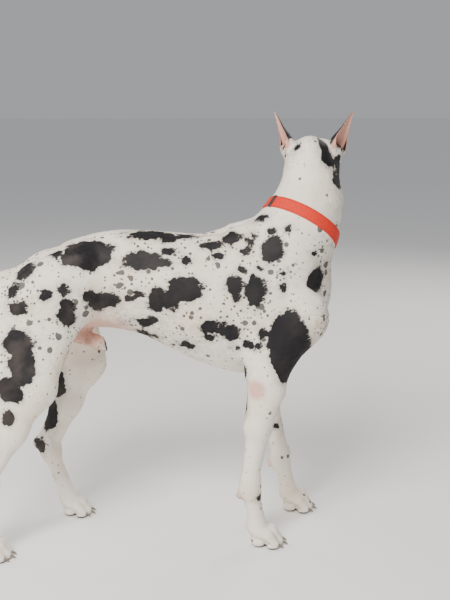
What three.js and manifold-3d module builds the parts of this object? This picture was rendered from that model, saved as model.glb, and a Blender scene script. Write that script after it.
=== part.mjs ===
// A life-size standing Great Dane with cropped ears and a flat collar, its head turned to its left.
// The flesh is one smooth shape, made of bones and balls that blend into each other. It is
// meshed over a grid, thinned to few triangles and parted with thin cuts where its parts meet.
// Units are millimetres. Places are written (side, fore, up): side is the dog's left, fore is
// the way its chest faces. In the model +X is side, -Y is fore and +Z is up.
import * as THREE from "three";
import { mergeVertices } from "three/addons/utils/BufferGeometryUtils.js";
import Module from "manifold-3d";

const wasm = await Module();
wasm.setup();

// Driving sizes
const WITHERS = 845;
const GAP = 0.3; // between parts that touch
const HEAD_YAW = 72; // degrees, towards the dog's left
const HEAD_PITCH = 15; // degrees, nose down
const COLLAR_WIDTH = 34;
const COLLAR_THICK = 4;
const FAR = 3000; // reaches past the whole dog

const at = (side, fore, up) => new THREE.Vector3(side, -fore, up);
const mirrored = (p, side) => at(side * p[0], p[1], p[2]);
const radians = THREE.MathUtils.degToRad;

// The trunk, section by section from rump to breast: fore, top, bottom, half width.
const TRUNK = [
  [-402, 634, 600, 36],
  [-378, 658, 586, 62],
  [-338, 688, 572, 85],
  [-290, 728, 566, 97],
  [-230, 768, 570, 102],
  [-160, WITHERS - 38, 572, 98],
  [-90, WITHERS - 22, 568, 97],
  [-20, WITHERS - 22, 550, 108],
  [50, WITHERS - 29, 514, 124],
  [120, WITHERS - 38, 478, 134],
  [190, WITHERS - 38, 451, 137],
  [250, WITHERS - 26, 438, 130],
  [310, WITHERS - 40, 446, 116],
  [360, WITHERS - 60, 478, 97],
  [405, WITHERS - 98, 528, 78],
  [445, WITHERS - 142, 590, 54],
];
const TRUNK_WAIST = 0.54; // height of the widest line, as a share of the section
const TRUNK_END = 60; // how softly the two ends round off

// The neck's middle line and its radius, from between the shoulders to the skull.
const NECK = [
  { p: [0, 300, 662], r: 116 },
  { p: [2, 350, 752], r: 100 },
  { p: [15, 399, 830], r: 82 },
  { p: [40, 424, 898], r: 70 },
  { p: [58, 428, 956], r: 62 },
];

// The four legs, by their joints. Only the right side's numbers are mirrored by the sign of side.
const FORELEGS = {
  right: { side: -1, elbow: [122, 288, 452], wrist: [116, 250, 166], knuckle: [115, 272, 58] },
  left: { side: 1, elbow: [120, 298, 455], wrist: [96, 360, 163], knuckle: [92, 388, 58] },
};
const SHOULDER = { top: [46, 236, 778], joint: [100, 382, 612] };
const HINDLEGS = {
  right: { side: -1, stifle: [134, -296, 446], hock: [132, -416, 200], knuckle: [130, -426, 52] },
  left: { side: 1, stifle: [132, -188, 432], hock: [122, -284, 190], knuckle: [116, -236, 52] },
};
const HIP = [84, -270, 656];
const RUMP_BONE = [52, -378, 662];

// Toes, from the inner to the outer: how far to the side and how far forward each one goes.
const TOES = [
  [-27, 47],
  [-10, 61],
  [10, 61],
  [27, 47],
];
const HIND_PAW_SIZE = 0.93; // hind paws against fore paws

// The tail's middle line and its radius.
const TAIL = [
  { p: [0, -318, 676], r: 24 },
  { p: [0, -384, 652], r: 22 },
  { p: [2, -440, 594], r: 18.5 },
  { p: [4, -466, 500], r: 15 },
  { p: [6, -472, 402], r: 11.5 },
  { p: [6, -482, 314], r: 8.5 },
  { p: [4, -504, 242], r: 6 },
];

// The head has its own frame: forward, left, up from the middle of the skull.
const SKULL = [96, 438, 994];
const yaw = radians(HEAD_YAW);
const pitch = radians(HEAD_PITCH);
const headForward = at(Math.sin(yaw) * Math.cos(pitch), Math.cos(yaw) * Math.cos(pitch), -Math.sin(pitch));
const headLeft = at(Math.cos(yaw), -Math.sin(yaw), 0);
const headUp = at(Math.sin(yaw) * Math.sin(pitch), Math.cos(yaw) * Math.sin(pitch), Math.cos(pitch));
const headMatrix = new THREE.Matrix4()
  .makeBasis(headForward, headLeft, headUp)
  .setPosition(at(...SKULL));
const toHead = headMatrix.clone().invert();
const onHead = (forward, left, up) => new THREE.Vector3(forward, left, up).applyMatrix4(headMatrix);

const EYE = { p: [69, 37, 13], r: 13 };
const EYE_OUT = [0.52, 0.82, 0.2]; // the way an eye looks, in the head's frame
const NOSE = { p: [236, 0, 3], cut: 226, under: -15 };

// One piece of the smooth shape. dist gives the distance to its surface, and nothing further
// than reach from middle belongs to it. A carving piece takes away where others add.
function piece(dist, middle, reach, { blend = 20, carve = false } = {}) {
  return { dist, middle, reach, blend, carve };
}

// An ellipsoid, or a ball where one radius is given.
function ball(p, radii, options = {}) {
  const r = Array.isArray(radii) ? radii : [radii, radii, radii];
  const turn = new THREE.Quaternion().setFromEuler(new THREE.Euler(...(options.turn ?? [0, 0, 0])));
  const back = turn.clone().invert();
  const q = new THREE.Vector3();
  const dist = (v) => {
    q.subVectors(v, p);
    if (options.turn) q.applyQuaternion(back);
    const k0 = Math.hypot(q.x / r[0], q.y / r[1], q.z / r[2]);
    const k1 = Math.hypot(q.x / r[0] ** 2, q.y / r[1] ** 2, q.z / r[2] ** 2);
    return k1 < 1e-9 ? -Math.min(...r) : (k0 * (k0 - 1)) / k1;
  };
  return piece(dist, p, Math.max(...r), options);
}

// A tapered rod with round ends. slim narrows it from side to side, along the first axis.
function bone(a, b, ra, rb, options = {}) {
  const slim = options.slim ?? 1;
  const along = new THREE.Vector3().subVectors(b, a);
  const length2 = along.lengthSq();
  const q = new THREE.Vector3();
  const dist = (v) => {
    q.subVectors(v, a);
    const t = THREE.MathUtils.clamp(q.dot(along) / length2, 0, 1);
    q.addScaledVector(along, -t);
    const side = options.slimAxis ?? "x";
    q[side] /= slim;
    return (q.length() - (ra + (rb - ra) * t)) * Math.sqrt(slim);
  };
  const middle = a.clone().add(b).multiplyScalar(0.5);
  return piece(dist, middle, Math.sqrt(length2) / 2 + Math.max(ra, rb), options);
}

const smooth = (t) => t * t * (3 - 2 * t);

// The trunk's own piece, from its table of sections.
function trunkPiece() {
  const section = (fore) => {
    let i = 0;
    while (i < TRUNK.length - 2 && TRUNK[i + 1][0] < fore) i++;
    const [a, b] = [TRUNK[i], TRUNK[i + 1]];
    const t = THREE.MathUtils.clamp((fore - a[0]) / (b[0] - a[0]), 0, 1);
    const before = TRUNK[Math.max(i - 1, 0)];
    const after = TRUNK[Math.min(i + 2, TRUNK.length - 1)];
    return [1, 2, 3].map((k) => {
      const ma = ((b[k] - before[k]) / (b[0] - before[0])) * (b[0] - a[0]);
      const mb = ((after[k] - a[k]) / (after[0] - a[0])) * (b[0] - a[0]);
      const h = smooth(t);
      return a[k] * (1 - h) + b[k] * h + ma * (t * (1 - t) ** 2) - mb * (t * t * (1 - t));
    });
  };
  const [first, last] = [TRUNK[0][0], TRUNK[TRUNK.length - 1][0]];
  const dist = (v) => {
    const fore = -v.y;
    const [top, bottom, wide] = section(THREE.MathUtils.clamp(fore, first, last));
    const waist = bottom + (top - bottom) * TRUNK_WAIST;
    const above = v.z > waist;
    const high = above ? top - waist : waist - bottom;
    const power = above ? 2.15 : 1.95;
    const round = Math.abs(v.x / wide) ** power + Math.abs((v.z - waist) / high) ** power;
    const body = (round ** (1 / power) - 1) * Math.min(wide, high);
    return smoothMax(body, Math.max(first - fore, fore - last), TRUNK_END);
  };
  return piece(dist, at(0, 0, 650), 560, { blend: 30 });
}

function smoothMin(a, b, k) {
  const h = Math.max(k - Math.abs(a - b), 0) / k;
  return Math.min(a, b) - (h * h * k) / 4;
}
const smoothMax = (a, b, k) => -smoothMin(-a, -b, k);

function chain(line, options) {
  return line.slice(1).map((b, i) => bone(at(...line[i].p), at(...b.p), line[i].r, b.r, options));
}

// Shoulder blade, upper arm, forearm, wrist and pastern.
function forelegPieces({ side, elbow, wrist, knuckle }) {
  const m = (p) => mirrored(p, side);
  const [top, joint] = [SHOULDER.top, SHOULDER.joint];
  const shift = (p, s, f, u) => m([p[0] + s, p[1] + f, p[2] + u]);
  const middle = elbow.map((x, i) => x + (wrist[i] - x) * 0.45);
  return [
    bone(m(top), m(joint), 40, 54, { blend: 46, slim: 0.66 }),
    bone(m([44, 190, 756]), m([92, 268, 650]), 34, 46, { blend: 46, slim: 0.6 }),
    ball(shift(joint, 6, 6, 0), [44, 44, 48], { blend: 40 }),
    bone(shift(joint, 8, -4, -10), shift(elbow, 0, 14, 22), 54, 42, { blend: 40, slim: 0.78 }),
    bone(shift(joint, 4, -92, -10), shift(elbow, -2, -8, 36), 52, 38, { blend: 44, slim: 0.62 }),
    bone(shift(elbow, 2, -30, 14), shift(elbow, 0, -4, 0), 16, 32, { blend: 16 }),
    bone(shift(elbow, 0, 4, 4), m(middle), 41, 31, { blend: 26, slim: 0.84 }),
    bone(shift(elbow, 6, 22, -30), shift(middle, 4, 8, 20), 27, 20, { blend: 24 }),
    bone(shift(elbow, 0, -14, -34), shift(middle, 0, -12, 10), 26, 19, { blend: 24 }),
    bone(m(middle), shift(wrist, 0, 0, 14), 30, 24, { blend: 24, slim: 0.9 }),
    bone(shift(wrist, 0, 3, 14), shift(wrist, 0, 4, -12), 26.5, 25, { blend: 14 }),
    bone(shift(wrist, 2, -16, -6), shift(wrist, 2, -28, -24), 12, 9, { blend: 10 }),
    bone(shift(wrist, 0, 2, -10), m(knuckle), 23, 23, { blend: 18 }),
    ...pawPieces(side, knuckle, 1),
  ];
}

// Pelvis, thigh, lower leg, hock and the long foot bone.
function hindlegPieces({ side, stifle, hock, knuckle }) {
  const m = (p) => mirrored(p, side);
  const shift = (p, s, f, u) => m([p[0] + s, p[1] + f, p[2] + u]);
  const between = (a, b, t) => a.map((x, i) => x + (b[i] - x) * t);
  const calf = between(stifle, hock, 0.42);
  const heel = [hock[0], hock[1] - 32, hock[2] + 24];
  return [
    bone(m(HIP), shift(stifle, -2, -18, 34), 88, 58, { blend: 60, slim: 0.56 }),
    bone(shift(HIP, -6, 46, 4), shift(stifle, 0, 8, 24), 58, 44, { blend: 50, slim: 0.56 }),
    bone(m(RUMP_BONE), shift(stifle, -14, -66, 44), 50, 42, { blend: 50, slim: 0.62 }),
    ball(shift(stifle, 2, 12, 2), [33, 40, 42], { blend: 30 }),
    bone(m(stifle), m(calf), 47, 36, { blend: 34, slim: 0.76 }),
    bone(shift(stifle, -4, -58, 24), shift(calf, 0, -26, -20), 36, 22, { blend: 34, slim: 0.8 }),
    bone(m(calf), shift(hock, 0, 0, 14), 33, 24, { blend: 26, slim: 0.78 }),
    bone(shift(calf, 0, -30, -16), m(heel), 14, 11, { blend: 20, slim: 0.8 }),
    bone(shift(hock, 0, 0, 8), m(heel), 25, 14, { blend: 14, slim: 0.84 }),
    ball(shift(hock, 0, 4, 0), [25, 27, 30], { blend: 14 }),
    bone(m(hock), m(knuckle), 23, 21, { blend: 18 }),
    ...pawPieces(side, knuckle, HIND_PAW_SIZE),
  ];
}

// A paw under the knuckles: four arched toes, their pads and the large pad behind them.
function pawPieces(side, knuckle, size) {
  const local = (s, f, u) => mirrored([knuckle[0] + s * size, knuckle[1] + f * size, u * size], side);
  const toes = TOES.flatMap(([out, reach]) => [
    bone(local(out * 0.66, -4, 46), local(out, reach - 24, 38), 16 * size, 15 * size, { blend: 7 }),
    bone(local(out, reach - 24, 38), local(out * 1.1, reach - 6, 16), 14.5 * size, 12.5 * size, { blend: 5 }),
    ball(local(out * 1.04, reach - 10, 6), [11 * size, 16 * size, 9 * size], { blend: 5 }),
  ]);
  return [
    ...toes,
    ball(local(0, 2, 14), [27 * size, 22 * size, 18 * size], { blend: 12 }),
    bone(local(0, -6, 56), local(0, 10, 34), 24 * size, 22 * size, { blend: 14 }),
  ];
}

// Breast, belly, loin and haunch masses that both sides share.
function bodyPieces() {
  return [
    trunkPiece(),
    ...[-1, 1].flatMap((side) => [
      ball(mirrored([44, 390, 592], side), [46, 54, 76], { blend: 50 }),
      ball(mirrored([58, -222, 704], side), [52, 76, 54], { blend: 56 }),
      bone(mirrored([30, 200, 762], side), mirrored([34, -190, 758], side), 28, 28, { blend: 44 }),
      bone(mirrored([22, 218, 818], side), mirrored([20, 254, 822], side), 13, 14, { blend: 16 }),
      ball(mirrored([80, -172, 764], side), [18, 30, 18], { blend: 30 }),
    ]),
    ball(at(0, 436, 664), [40, 38, 58], { blend: 44 }),
    bone(at(0, -235, 566), at(0, -134, 531), 22, 18, { blend: 26 }),
    bone(at(0, -136, 529), at(0, -120, 514), 15, 10, { blend: 10 }),
    ...chain(NECK, { blend: 60 }),
    bone(at(0, 282, 768), at(17, 356, 848), 36, 38, { blend: 44 }),
  ];
}

const EAR_ROOT = 25;
const earRoot = (side) => [-20, side * 56, 16];

// The head in its own frame. Lines with two sides are made for each side.
function headPieces() {
  const v = (forward, left, up) => new THREE.Vector3(forward, left, up);
  const both = (make) => [-1, 1].flatMap(make);
  const side = { slimAxis: "y" };
  return [
    ball(v(-4, 0, 0), [78, 62, 56], { blend: 20 }),
    ball(v(-70, 0, 14), [36, 26, 26], { blend: 30 }),
    bone(v(-58, 0, -20), v(-18, 0, -52), 50, 46, { blend: 34 }),
    ...both((s) => [
      ball(v(18, s * 34, 22), [48, 28, 30], { blend: 24 }),
      ball(v(64, s * 25, 30), [24, 20, 19], { blend: 20 }),
      ball(v(4, s * 45, -30), [44, 24, 42], { blend: 26 }),
      bone(v(76, s * 42, -6), v(4, s * 58, -2), 12, 13, { blend: 18 }),
      ball(v(EYE.p[0] - 1, s * EYE.p[1], EYE.p[2]), 16.5, { blend: 12 }),
    ]),
    ...both((s) => [bone(v(-10, s * 32, 0), v(...earRoot(s)), 30, EAR_ROOT, { blend: 16 })]),
    bone(v(60, 0, 22), v(98, 0, 14), 34, 30, { blend: 28 }),
    bone(v(88, 0, -2), v(214, 0, -6), 38, 31, { blend: 22, slim: 1.02, ...side }),
    bone(v(92, 0, 12), v(222, 0, 4), 19, 16, { blend: 20, slim: 1.5, ...side }),
    ...both((s) => [
      bone(v(212, s * 14, -28), v(176, s * 24, -44), 23, 25, { blend: 14, slim: 0.8, ...side }),
      bone(v(176, s * 24, -44), v(112, s * 32, -38), 26, 23, { blend: 16, slim: 0.74, ...side }),
      ball(v(150, s * 30, -56), [36, 11, 22], { blend: 12 }),
      bone(v(112, s * 32, -36), v(70, s * 40, -30), 22, 26, { blend: 24, slim: 0.8, ...side }),
    ]),
    bone(v(200, 0, -62), v(110, 0, -66), 14, 21, { blend: 3, slim: 1.25, ...side }),
    bone(v(110, 0, -60), v(10, 0, -66), 23, 36, { blend: 20, slim: 1.25, ...side }),
    ball(v(NOSE.p[0] - 2, 0, NOSE.p[2]), [17, 21, 17], { blend: 8 }),
    // Hollows: stop, eye sockets, lid openings, nostrils, lip groove and the corner of the mouth.
    bone(v(100, 0, 56), v(112, 0, 58), 24, 28, { blend: 24, carve: true }),
    ...both((s) => [
      ball(v(92, s * 43, 2), [17, 12, 14], { blend: 16, carve: true }),
      ball(eyeFront(s, 13.5), [9, 9, 6.2], { blend: 3, carve: true }),
      ball(v(253, s * 8.5, 2), [9, 4.6, 5.2], { blend: 2.5, carve: true }),
      bone(v(250, s * 12, 0), v(242, s * 20, -3), 3, 1.8, { blend: 2, carve: true }),
      bone(v(102, s * 48, -60), v(86, s * 51, -54), 3.4, 1.6, { blend: 5, carve: true }),
    ]),
    bone(v(252, 0, -12), v(240, 0, -38), 2, 2, { blend: 3, carve: true }),
  ];
}

// A place on the line that an eye looks along, this far from the eye's middle.
function eyeFront(side, far) {
  const out = new THREE.Vector3(EYE_OUT[0], side * EYE_OUT[1], EYE_OUT[2]).normalize();
  return new THREE.Vector3(EYE.p[0], side * EYE.p[1], EYE.p[2]).addScaledVector(out, far);
}

const HEAD_BLEND = 28; // how softly the head runs into the neck
const headShape = headPieces();
const bodyShape = [
  ...bodyPieces(),
  ...Object.values(FORELEGS).flatMap(forelegPieces),
  ...Object.values(HINDLEGS).flatMap(hindlegPieces),
];
const tailShape = chain(TAIL, { blend: 12 });
const tailRoot = tailShape.slice(0, 2).map((p) => ({ ...p, blend: 30 }));

// The distance to a list of pieces. Those too far off to matter are passed over.
function blended(pieces, v, start = FAR) {
  let d = start;
  for (const { dist, middle, reach, blend, carve } of pieces) {
    const near = v.distanceTo(middle) - reach;
    if (carve) {
      if (near > blend - d) continue;
      d = smoothMax(d, -dist(v), blend);
    } else {
      if (near > d + blend) continue;
      d = smoothMin(d, dist(v), blend);
    }
  }
  return d;
}

const local = new THREE.Vector3();
const HEAD_REACH = 330;
function flesh(v) {
  const body = blended(tailRoot, v, blended(bodyShape, v));
  local.copy(v).applyMatrix4(toHead);
  if (local.length() > HEAD_REACH + 60) return body;
  return smoothMin(blended(headShape, local), body, HEAD_BLEND);
}
const tailFlesh = (v) => blended(tailShape, v);

// Pushes a point on to the surface of a shape, along the shape's slope.
const probe = new THREE.Vector3();
function slope(shape, v, out) {
  const e = 0.4;
  for (const axis of ["x", "y", "z"]) {
    probe.copy(v)[axis] += e;
    const ahead = shape(probe);
    probe[axis] -= 2 * e;
    out[axis] = (ahead - shape(probe)) / (2 * e);
  }
  return out;
}
const tilt = new THREE.Vector3();
function settle(shape, v, most) {
  for (let i = 0; i < 3; i++) {
    slope(shape, v, tilt);
    const step = shape(v) / Math.max(tilt.lengthSq(), 0.2);
    v.addScaledVector(tilt, -THREE.MathUtils.clamp(step, -most, most));
  }
  return v;
}

// A shape inside a box of the grid, as one closed mesh: each cube is cut into six tetrahedra,
// and each of those holds none, one or two triangles of the surface.
const KUHN = [
  [0, 1, 3, 7],
  [0, 1, 5, 7],
  [0, 2, 3, 7],
  [0, 2, 6, 7],
  [0, 4, 5, 7],
  [0, 4, 6, 7],
];
function gridMesh(shape, low, high, cell) {
  const count = [0, 1, 2].map((k) => Math.ceil((high[k] - low[k]) / cell) + 3);
  const line = (n, axis) => low[axis] + (n - 1) * cell;
  const place = (i, j, k, out) => out.set(line(i, 0), line(j, 1), line(k, 2));
  const index = (i, j, k) => (k * count[1] + j) * count[0] + i;
  const total = count[0] * count[1] * count[2];
  const value = new Float64Array(total);
  const v = new THREE.Vector3();
  for (let k = 0; k < count[2]; k++)
    for (let j = 0; j < count[1]; j++)
      for (let i = 0; i < count[0]; i++) {
        place(i, j, k, v);
        const short = Math.max(low[0] - v.x, low[1] - v.y, low[2] - v.z);
        const box = Math.max(short, v.x - high[0], v.y - high[1], v.z - high[2]);
        const d = box > 2 * cell ? box : Math.max(box, shape(v));
        value[index(i, j, k)] = Math.abs(d) < 1e-3 ? 1e-3 : d;
      }
  const positions = [];
  const triangles = [];
  const made = new Map();
  const [a, b] = [new THREE.Vector3(), new THREE.Vector3()];
  const unpack = (n, out) =>
    place(n % count[0], Math.floor(n / count[0]) % count[1], Math.floor(n / (count[0] * count[1])), out);
  const crossing = (m, n) => {
    const key = m < n ? m * total + n : n * total + m;
    let found = made.get(key);
    if (found === undefined) {
      unpack(m, a);
      unpack(n, b);
      a.lerp(b, value[m] / (value[m] - value[n]));
      found = positions.length;
      positions.push(a.clone());
      made.set(key, found);
    }
    return found;
  };
  const add = (p, q, r, inside, outside) => {
    unpack(inside, a);
    unpack(outside, b);
    const normal = b.clone().sub(a);
    const [P, Q, R] = [positions[p], positions[q], positions[r]];
    const face = new THREE.Vector3().crossVectors(Q.clone().sub(P), R.clone().sub(P));
    triangles.push(face.dot(normal) >= 0 ? [p, q, r] : [p, r, q]);
  };
  for (let k = 0; k < count[2] - 1; k++)
    for (let j = 0; j < count[1] - 1; j++)
      for (let i = 0; i < count[0] - 1; i++) {
        const corner = [0, 1, 2, 3, 4, 5, 6, 7].map((c) =>
          index(i + (c & 1), j + ((c >> 1) & 1), k + (c >> 2)),
        );
        const inside = corner.filter((c) => value[c] < 0).length;
        if (inside === 0 || inside === 8) continue;
        for (const tet of KUHN) {
          const n = tet.map((c) => corner[c]);
          const ins = n.filter((c) => value[c] < 0);
          const outs = n.filter((c) => value[c] >= 0);
          if (ins.length === 1 || ins.length === 3) {
            const [one, three] = ins.length === 1 ? [ins[0], outs] : [outs[0], ins];
            const t = three.map((c) => crossing(one, c));
            add(...t, ins[0], outs[0]);
          } else if (ins.length === 2) {
            const [p, q] = [crossing(ins[0], outs[0]), crossing(ins[0], outs[1])];
            const [r, s] = [crossing(ins[1], outs[1]), crossing(ins[1], outs[0])];
            add(p, q, r, ins[0], outs[0]);
            add(p, r, s, ins[0], outs[0]);
          }
        }
      }
  return { positions, triangles };
}

// Thins a closed mesh to a number of triangles by collapsing the edges that change it least.
function thinned({ positions, triangles }, target) {
  const faces = triangles.map((t) => [...t]);
  const alive = new Uint8Array(faces.length).fill(1);
  const around = positions.map(() => new Set());
  const stamp = new Int32Array(positions.length);
  const quadric = positions.map(() => new Float64Array(10));
  const [e1, e2, n] = [new THREE.Vector3(), new THREE.Vector3(), new THREE.Vector3()];
  const normalOf = (a, b, c) => n.crossVectors(e1.subVectors(b, a), e2.subVectors(c, a));
  faces.forEach((f, i) => {
    normalOf(...f.map((v) => positions[v]));
    const area = n.length();
    if (area > 1e-9) n.divideScalar(area);
    const plane = [n.x, n.y, n.z, -n.dot(positions[f[0]])];
    const terms = plane.flatMap((a, j) => plane.slice(j).map((b) => a * b));
    for (const v of f) {
      around[v].add(i);
      terms.forEach((t, k) => (quadric[v][k] += area * t));
    }
  });
  const errorAt = (q, p) =>
    q[0] * p.x * p.x + 2 * q[1] * p.x * p.y + 2 * q[2] * p.x * p.z + 2 * q[3] * p.x + q[4] * p.y * p.y +
    2 * q[5] * p.y * p.z + 2 * q[6] * p.y + q[7] * p.z * p.z + 2 * q[8] * p.z + q[9];
  const best = (a, b) => {
    const q = quadric[a].map((x, k) => x + quadric[b][k]);
    const middle = positions[a].clone().add(positions[b]).multiplyScalar(0.5);
    const span = positions[a].distanceTo(positions[b]);
    const m = new THREE.Matrix3().set(q[0], q[1], q[2], q[1], q[4], q[5], q[2], q[5], q[7]);
    const choices = [middle, positions[a], positions[b]];
    if (Math.abs(m.determinant()) > 1e-6 * (q[0] + q[4] + q[7]) ** 3) {
      const found = new THREE.Vector3(-q[3], -q[6], -q[8]).applyMatrix3(m.invert());
      if (found.distanceTo(middle) < 1.5 * span) choices.unshift(found);
    }
    let [chosen, cost] = [null, Infinity];
    for (const c of choices) {
      const e = errorAt(q, c) + 1e-4 * span * span * (1 + q[0] + q[4] + q[7]) * 1e-2;
      if (e < cost) [chosen, cost] = [c, e];
    }
    return { place: chosen, cost };
  };
  const heap = [];
  const push = (item) => {
    heap.push(item);
    for (let i = heap.length - 1; i > 0; ) {
      const up = (i - 1) >> 1;
      if (heap[up].cost <= heap[i].cost) break;
      [heap[up], heap[i]] = [heap[i], heap[up]];
      i = up;
    }
  };
  const pop = () => {
    const top = heap[0];
    const last = heap.pop();
    if (heap.length) {
      heap[0] = last;
      for (let i = 0; ; ) {
        let least = i;
        for (const c of [2 * i + 1, 2 * i + 2]) {
          if (c < heap.length && heap[c].cost < heap[least].cost) least = c;
        }
        if (least === i) break;
        [heap[least], heap[i]] = [heap[i], heap[least]];
        i = least;
      }
    }
    return top;
  };
  const neighbours = (v) => new Set([...around[v]].flatMap((f) => faces[f]).filter((x) => x !== v));
  const offer = (a, b) => push({ a, b, sa: stamp[a], sb: stamp[b], ...best(a, b) });
  positions.forEach((_, v) => {
    for (const w of neighbours(v)) if (v < w) offer(v, w);
  });
  const turns = (v, other, place) => {
    for (const f of around[v]) {
      if (faces[f].includes(other)) continue;
      const corners = faces[f].map((x) => positions[x]);
      const before = normalOf(...corners).clone().normalize();
      const after = normalOf(...faces[f].map((x) => (x === v ? place : positions[x]))).clone();
      const size = after.length();
      if (size < 1e-4 || after.divideScalar(size).dot(before) < 0.3) return true;
    }
    return false;
  };
  let left = faces.length;
  while (left > target && heap.length) {
    const { a, b, sa, sb, place } = pop();
    if (stamp[a] !== sa || stamp[b] !== sb) continue;
    const near = neighbours(b);
    const shared = [...neighbours(a)].filter((x) => near.has(x));
    if (shared.length !== 2 || turns(a, b, place) || turns(b, a, place)) continue;
    positions[a] = place.clone();
    for (let k = 0; k < 10; k++) quadric[a][k] += quadric[b][k];
    for (const f of [...around[b]]) {
      if (faces[f].includes(a)) {
        alive[f] = 0;
        left--;
        faces[f].forEach((x) => around[x].delete(f));
      } else {
        faces[f] = faces[f].map((x) => (x === b ? a : x));
        around[a].add(f);
      }
    }
    around[b].clear();
    stamp[b] = -1;
    stamp[a]++;
    for (const w of neighbours(a)) offer(a, w);
  }
  return { positions, triangles: faces.filter((_, i) => alive[i]) };
}

function solidOf({ positions, triangles }) {
  const number = new Map();
  const used = [];
  const triVerts = new Uint32Array(
    triangles.flat().map((v) => {
      if (!number.has(v)) {
        number.set(v, used.length);
        used.push(positions[v]);
      }
      return number.get(v);
    }),
  );
  const vertProperties = new Float32Array(used.flatMap((p) => [p.x, p.y, p.z]));
  return new wasm.Manifold(new wasm.Mesh({ numProp: 3, vertProperties, triVerts }));
}

// A three.js geometry, closed once its shared vertices are merged, as a solid.
function solidFrom(geometry, matrix = new THREE.Matrix4()) {
  const plain = geometry.clone().applyMatrix4(matrix);
  for (const name of ["normal", "uv"]) plain.deleteAttribute(name);
  const merged = mergeVertices(plain, 1e-3);
  return new wasm.Manifold(
    new wasm.Mesh({
      numProp: 3,
      vertProperties: merged.attributes.position.array,
      triVerts: new Uint32Array(merged.index.array),
    }),
  );
}

function largest(solid) {
  return solid.decompose().reduce((a, b) => (b.volume() > a.volume() ? b : a));
}

// A box whose corner region starts at point and lies along the three axes given.
function block(point, [ax, ay, az], size) {
  const matrix = new THREE.Matrix4().makeBasis(ax, ay, az);
  const g = new THREE.BoxGeometry(...size).toNonIndexed();
  g.translate(...size.map((s) => s / 2));
  return solidFrom(g, matrix.setPosition(point));
}

// Everything on the side of a plane that its normal points to, moved off by half the gap.
function beyond(point, normal, off = GAP / 2) {
  const z = normal.clone().normalize();
  const x = new THREE.Vector3(z.y, z.z, z.x).cross(z).normalize();
  const y = new THREE.Vector3().crossVectors(z, x);
  const middle = x.clone().add(y).multiplyScalar(-FAR / 2);
  return block(middle.add(point).addScaledVector(z, off), [x, y, z], [FAR, FAR, FAR]);
}

const SETTLE_MARGIN = 0.6; // vertices nearer than this to the box's sides stay on them
const SETTLE_REACH = 0.5;

// The smooth flesh within a box of (side, fore, up), thinned, with its vertices on the surface.
function fleshSolid(low, high, cell, target, shape = flesh) {
  const [a, b] = [at(...low), at(...high)];
  const min = [Math.min(a.x, b.x), Math.min(a.y, b.y), a.z];
  const max = [Math.max(a.x, b.x), Math.max(a.y, b.y), b.z];
  const mesh = thinned(gridMesh(shape, min, max, cell), target);
  const free = (n, axis) => n > min[axis] + SETTLE_MARGIN && n < max[axis] - SETTLE_MARGIN;
  for (const v of mesh.positions) {
    if ([v.x, v.y, v.z].every(free)) settle(shape, v, SETTLE_REACH);
  }
  return solidOf(mesh);
}

// Cutting planes: a point, and a normal that points away from the torso.
const CUTS = {
  neck: { point: at(0, 270, WITHERS), normal: at(0, 0.652, 0.758) },
  head: { point: at(46, 423, 925), normal: at(0.45, 0.25, 0.86) },
  tail: { point: at(0, -422, 612), normal: at(0, -0.69, -0.72) },
};
const LEG_SPACE = {
  fore: { inner: 46, high: 426, lean: 58, back: 150, front: 520 },
  hind: { inner: 29, high: 571, lean: 58, back: -620, front: -96 },
};
const FORE_PAW_TOP = 84;
const HIND_PAW_TOP = 78;

const LEG_SPACE_SIZE = { tall: 1400, wide: 900 };

// The space that one leg is cut from: it ends inwards at a wall beside the middle of the dog,
// and upwards at a roof that rises outwards at lean degrees.
function legSpace(side, { inner, high, lean, back, front }, grow) {
  const { tall, wide } = LEG_SPACE_SIZE;
  const rise = radians(lean);
  const out = at(side * Math.cos(rise), 0, Math.sin(rise));
  const up = at(-side * Math.sin(rise), 0, Math.cos(rise));
  const depth = front - back + 2 * grow;
  const start = at(side * inner, back - grow, high);
  start.addScaledVector(up, grow - tall).addScaledVector(out, -wide);
  const axes = [out, at(0, 1, 0), up];
  const sizes = [2 * wide, depth, tall];
  if (new THREE.Vector3().crossVectors(axes[0], axes[1]).dot(up) < 0) {
    [axes[0], axes[1]] = [axes[1], axes[0]];
    [sizes[0], sizes[1]] = [sizes[1], sizes[0]];
  }
  const wall = beyond(at(side * inner, 0, 0), at(side, 0, 0), -grow);
  return block(start, axes, sizes).intersect(wall);
}

// The collar is a band around the neck. Its inner side follows the neck, found by walking out
// from the band's middle line until the flesh ends.
const COLLAR = { middle: at(20, 397, 836), normal: at(0.3, 0.5, 0.812).normalize() };
const COLLAR_STEPS = 44;
const collarAcross = new THREE.Vector3(1, 0, 0).cross(COLLAR.normal).normalize();
const collarAlong = new THREE.Vector3().crossVectors(COLLAR.normal, collarAcross);
function collarPoint(angle, axial, off) {
  const out = collarAcross.clone().multiplyScalar(Math.cos(angle));
  out.addScaledVector(collarAlong, Math.sin(angle));
  const start = COLLAR.middle.clone().addScaledVector(COLLAR.normal, axial);
  let [low, high] = [20, 200];
  for (let i = 0; i < 26; i++) {
    const far = (low + high) / 2;
    if (flesh(start.clone().addScaledVector(out, far)) < 0) low = far;
    else high = far;
  }
  return start.addScaledVector(out, low + off);
}
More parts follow.
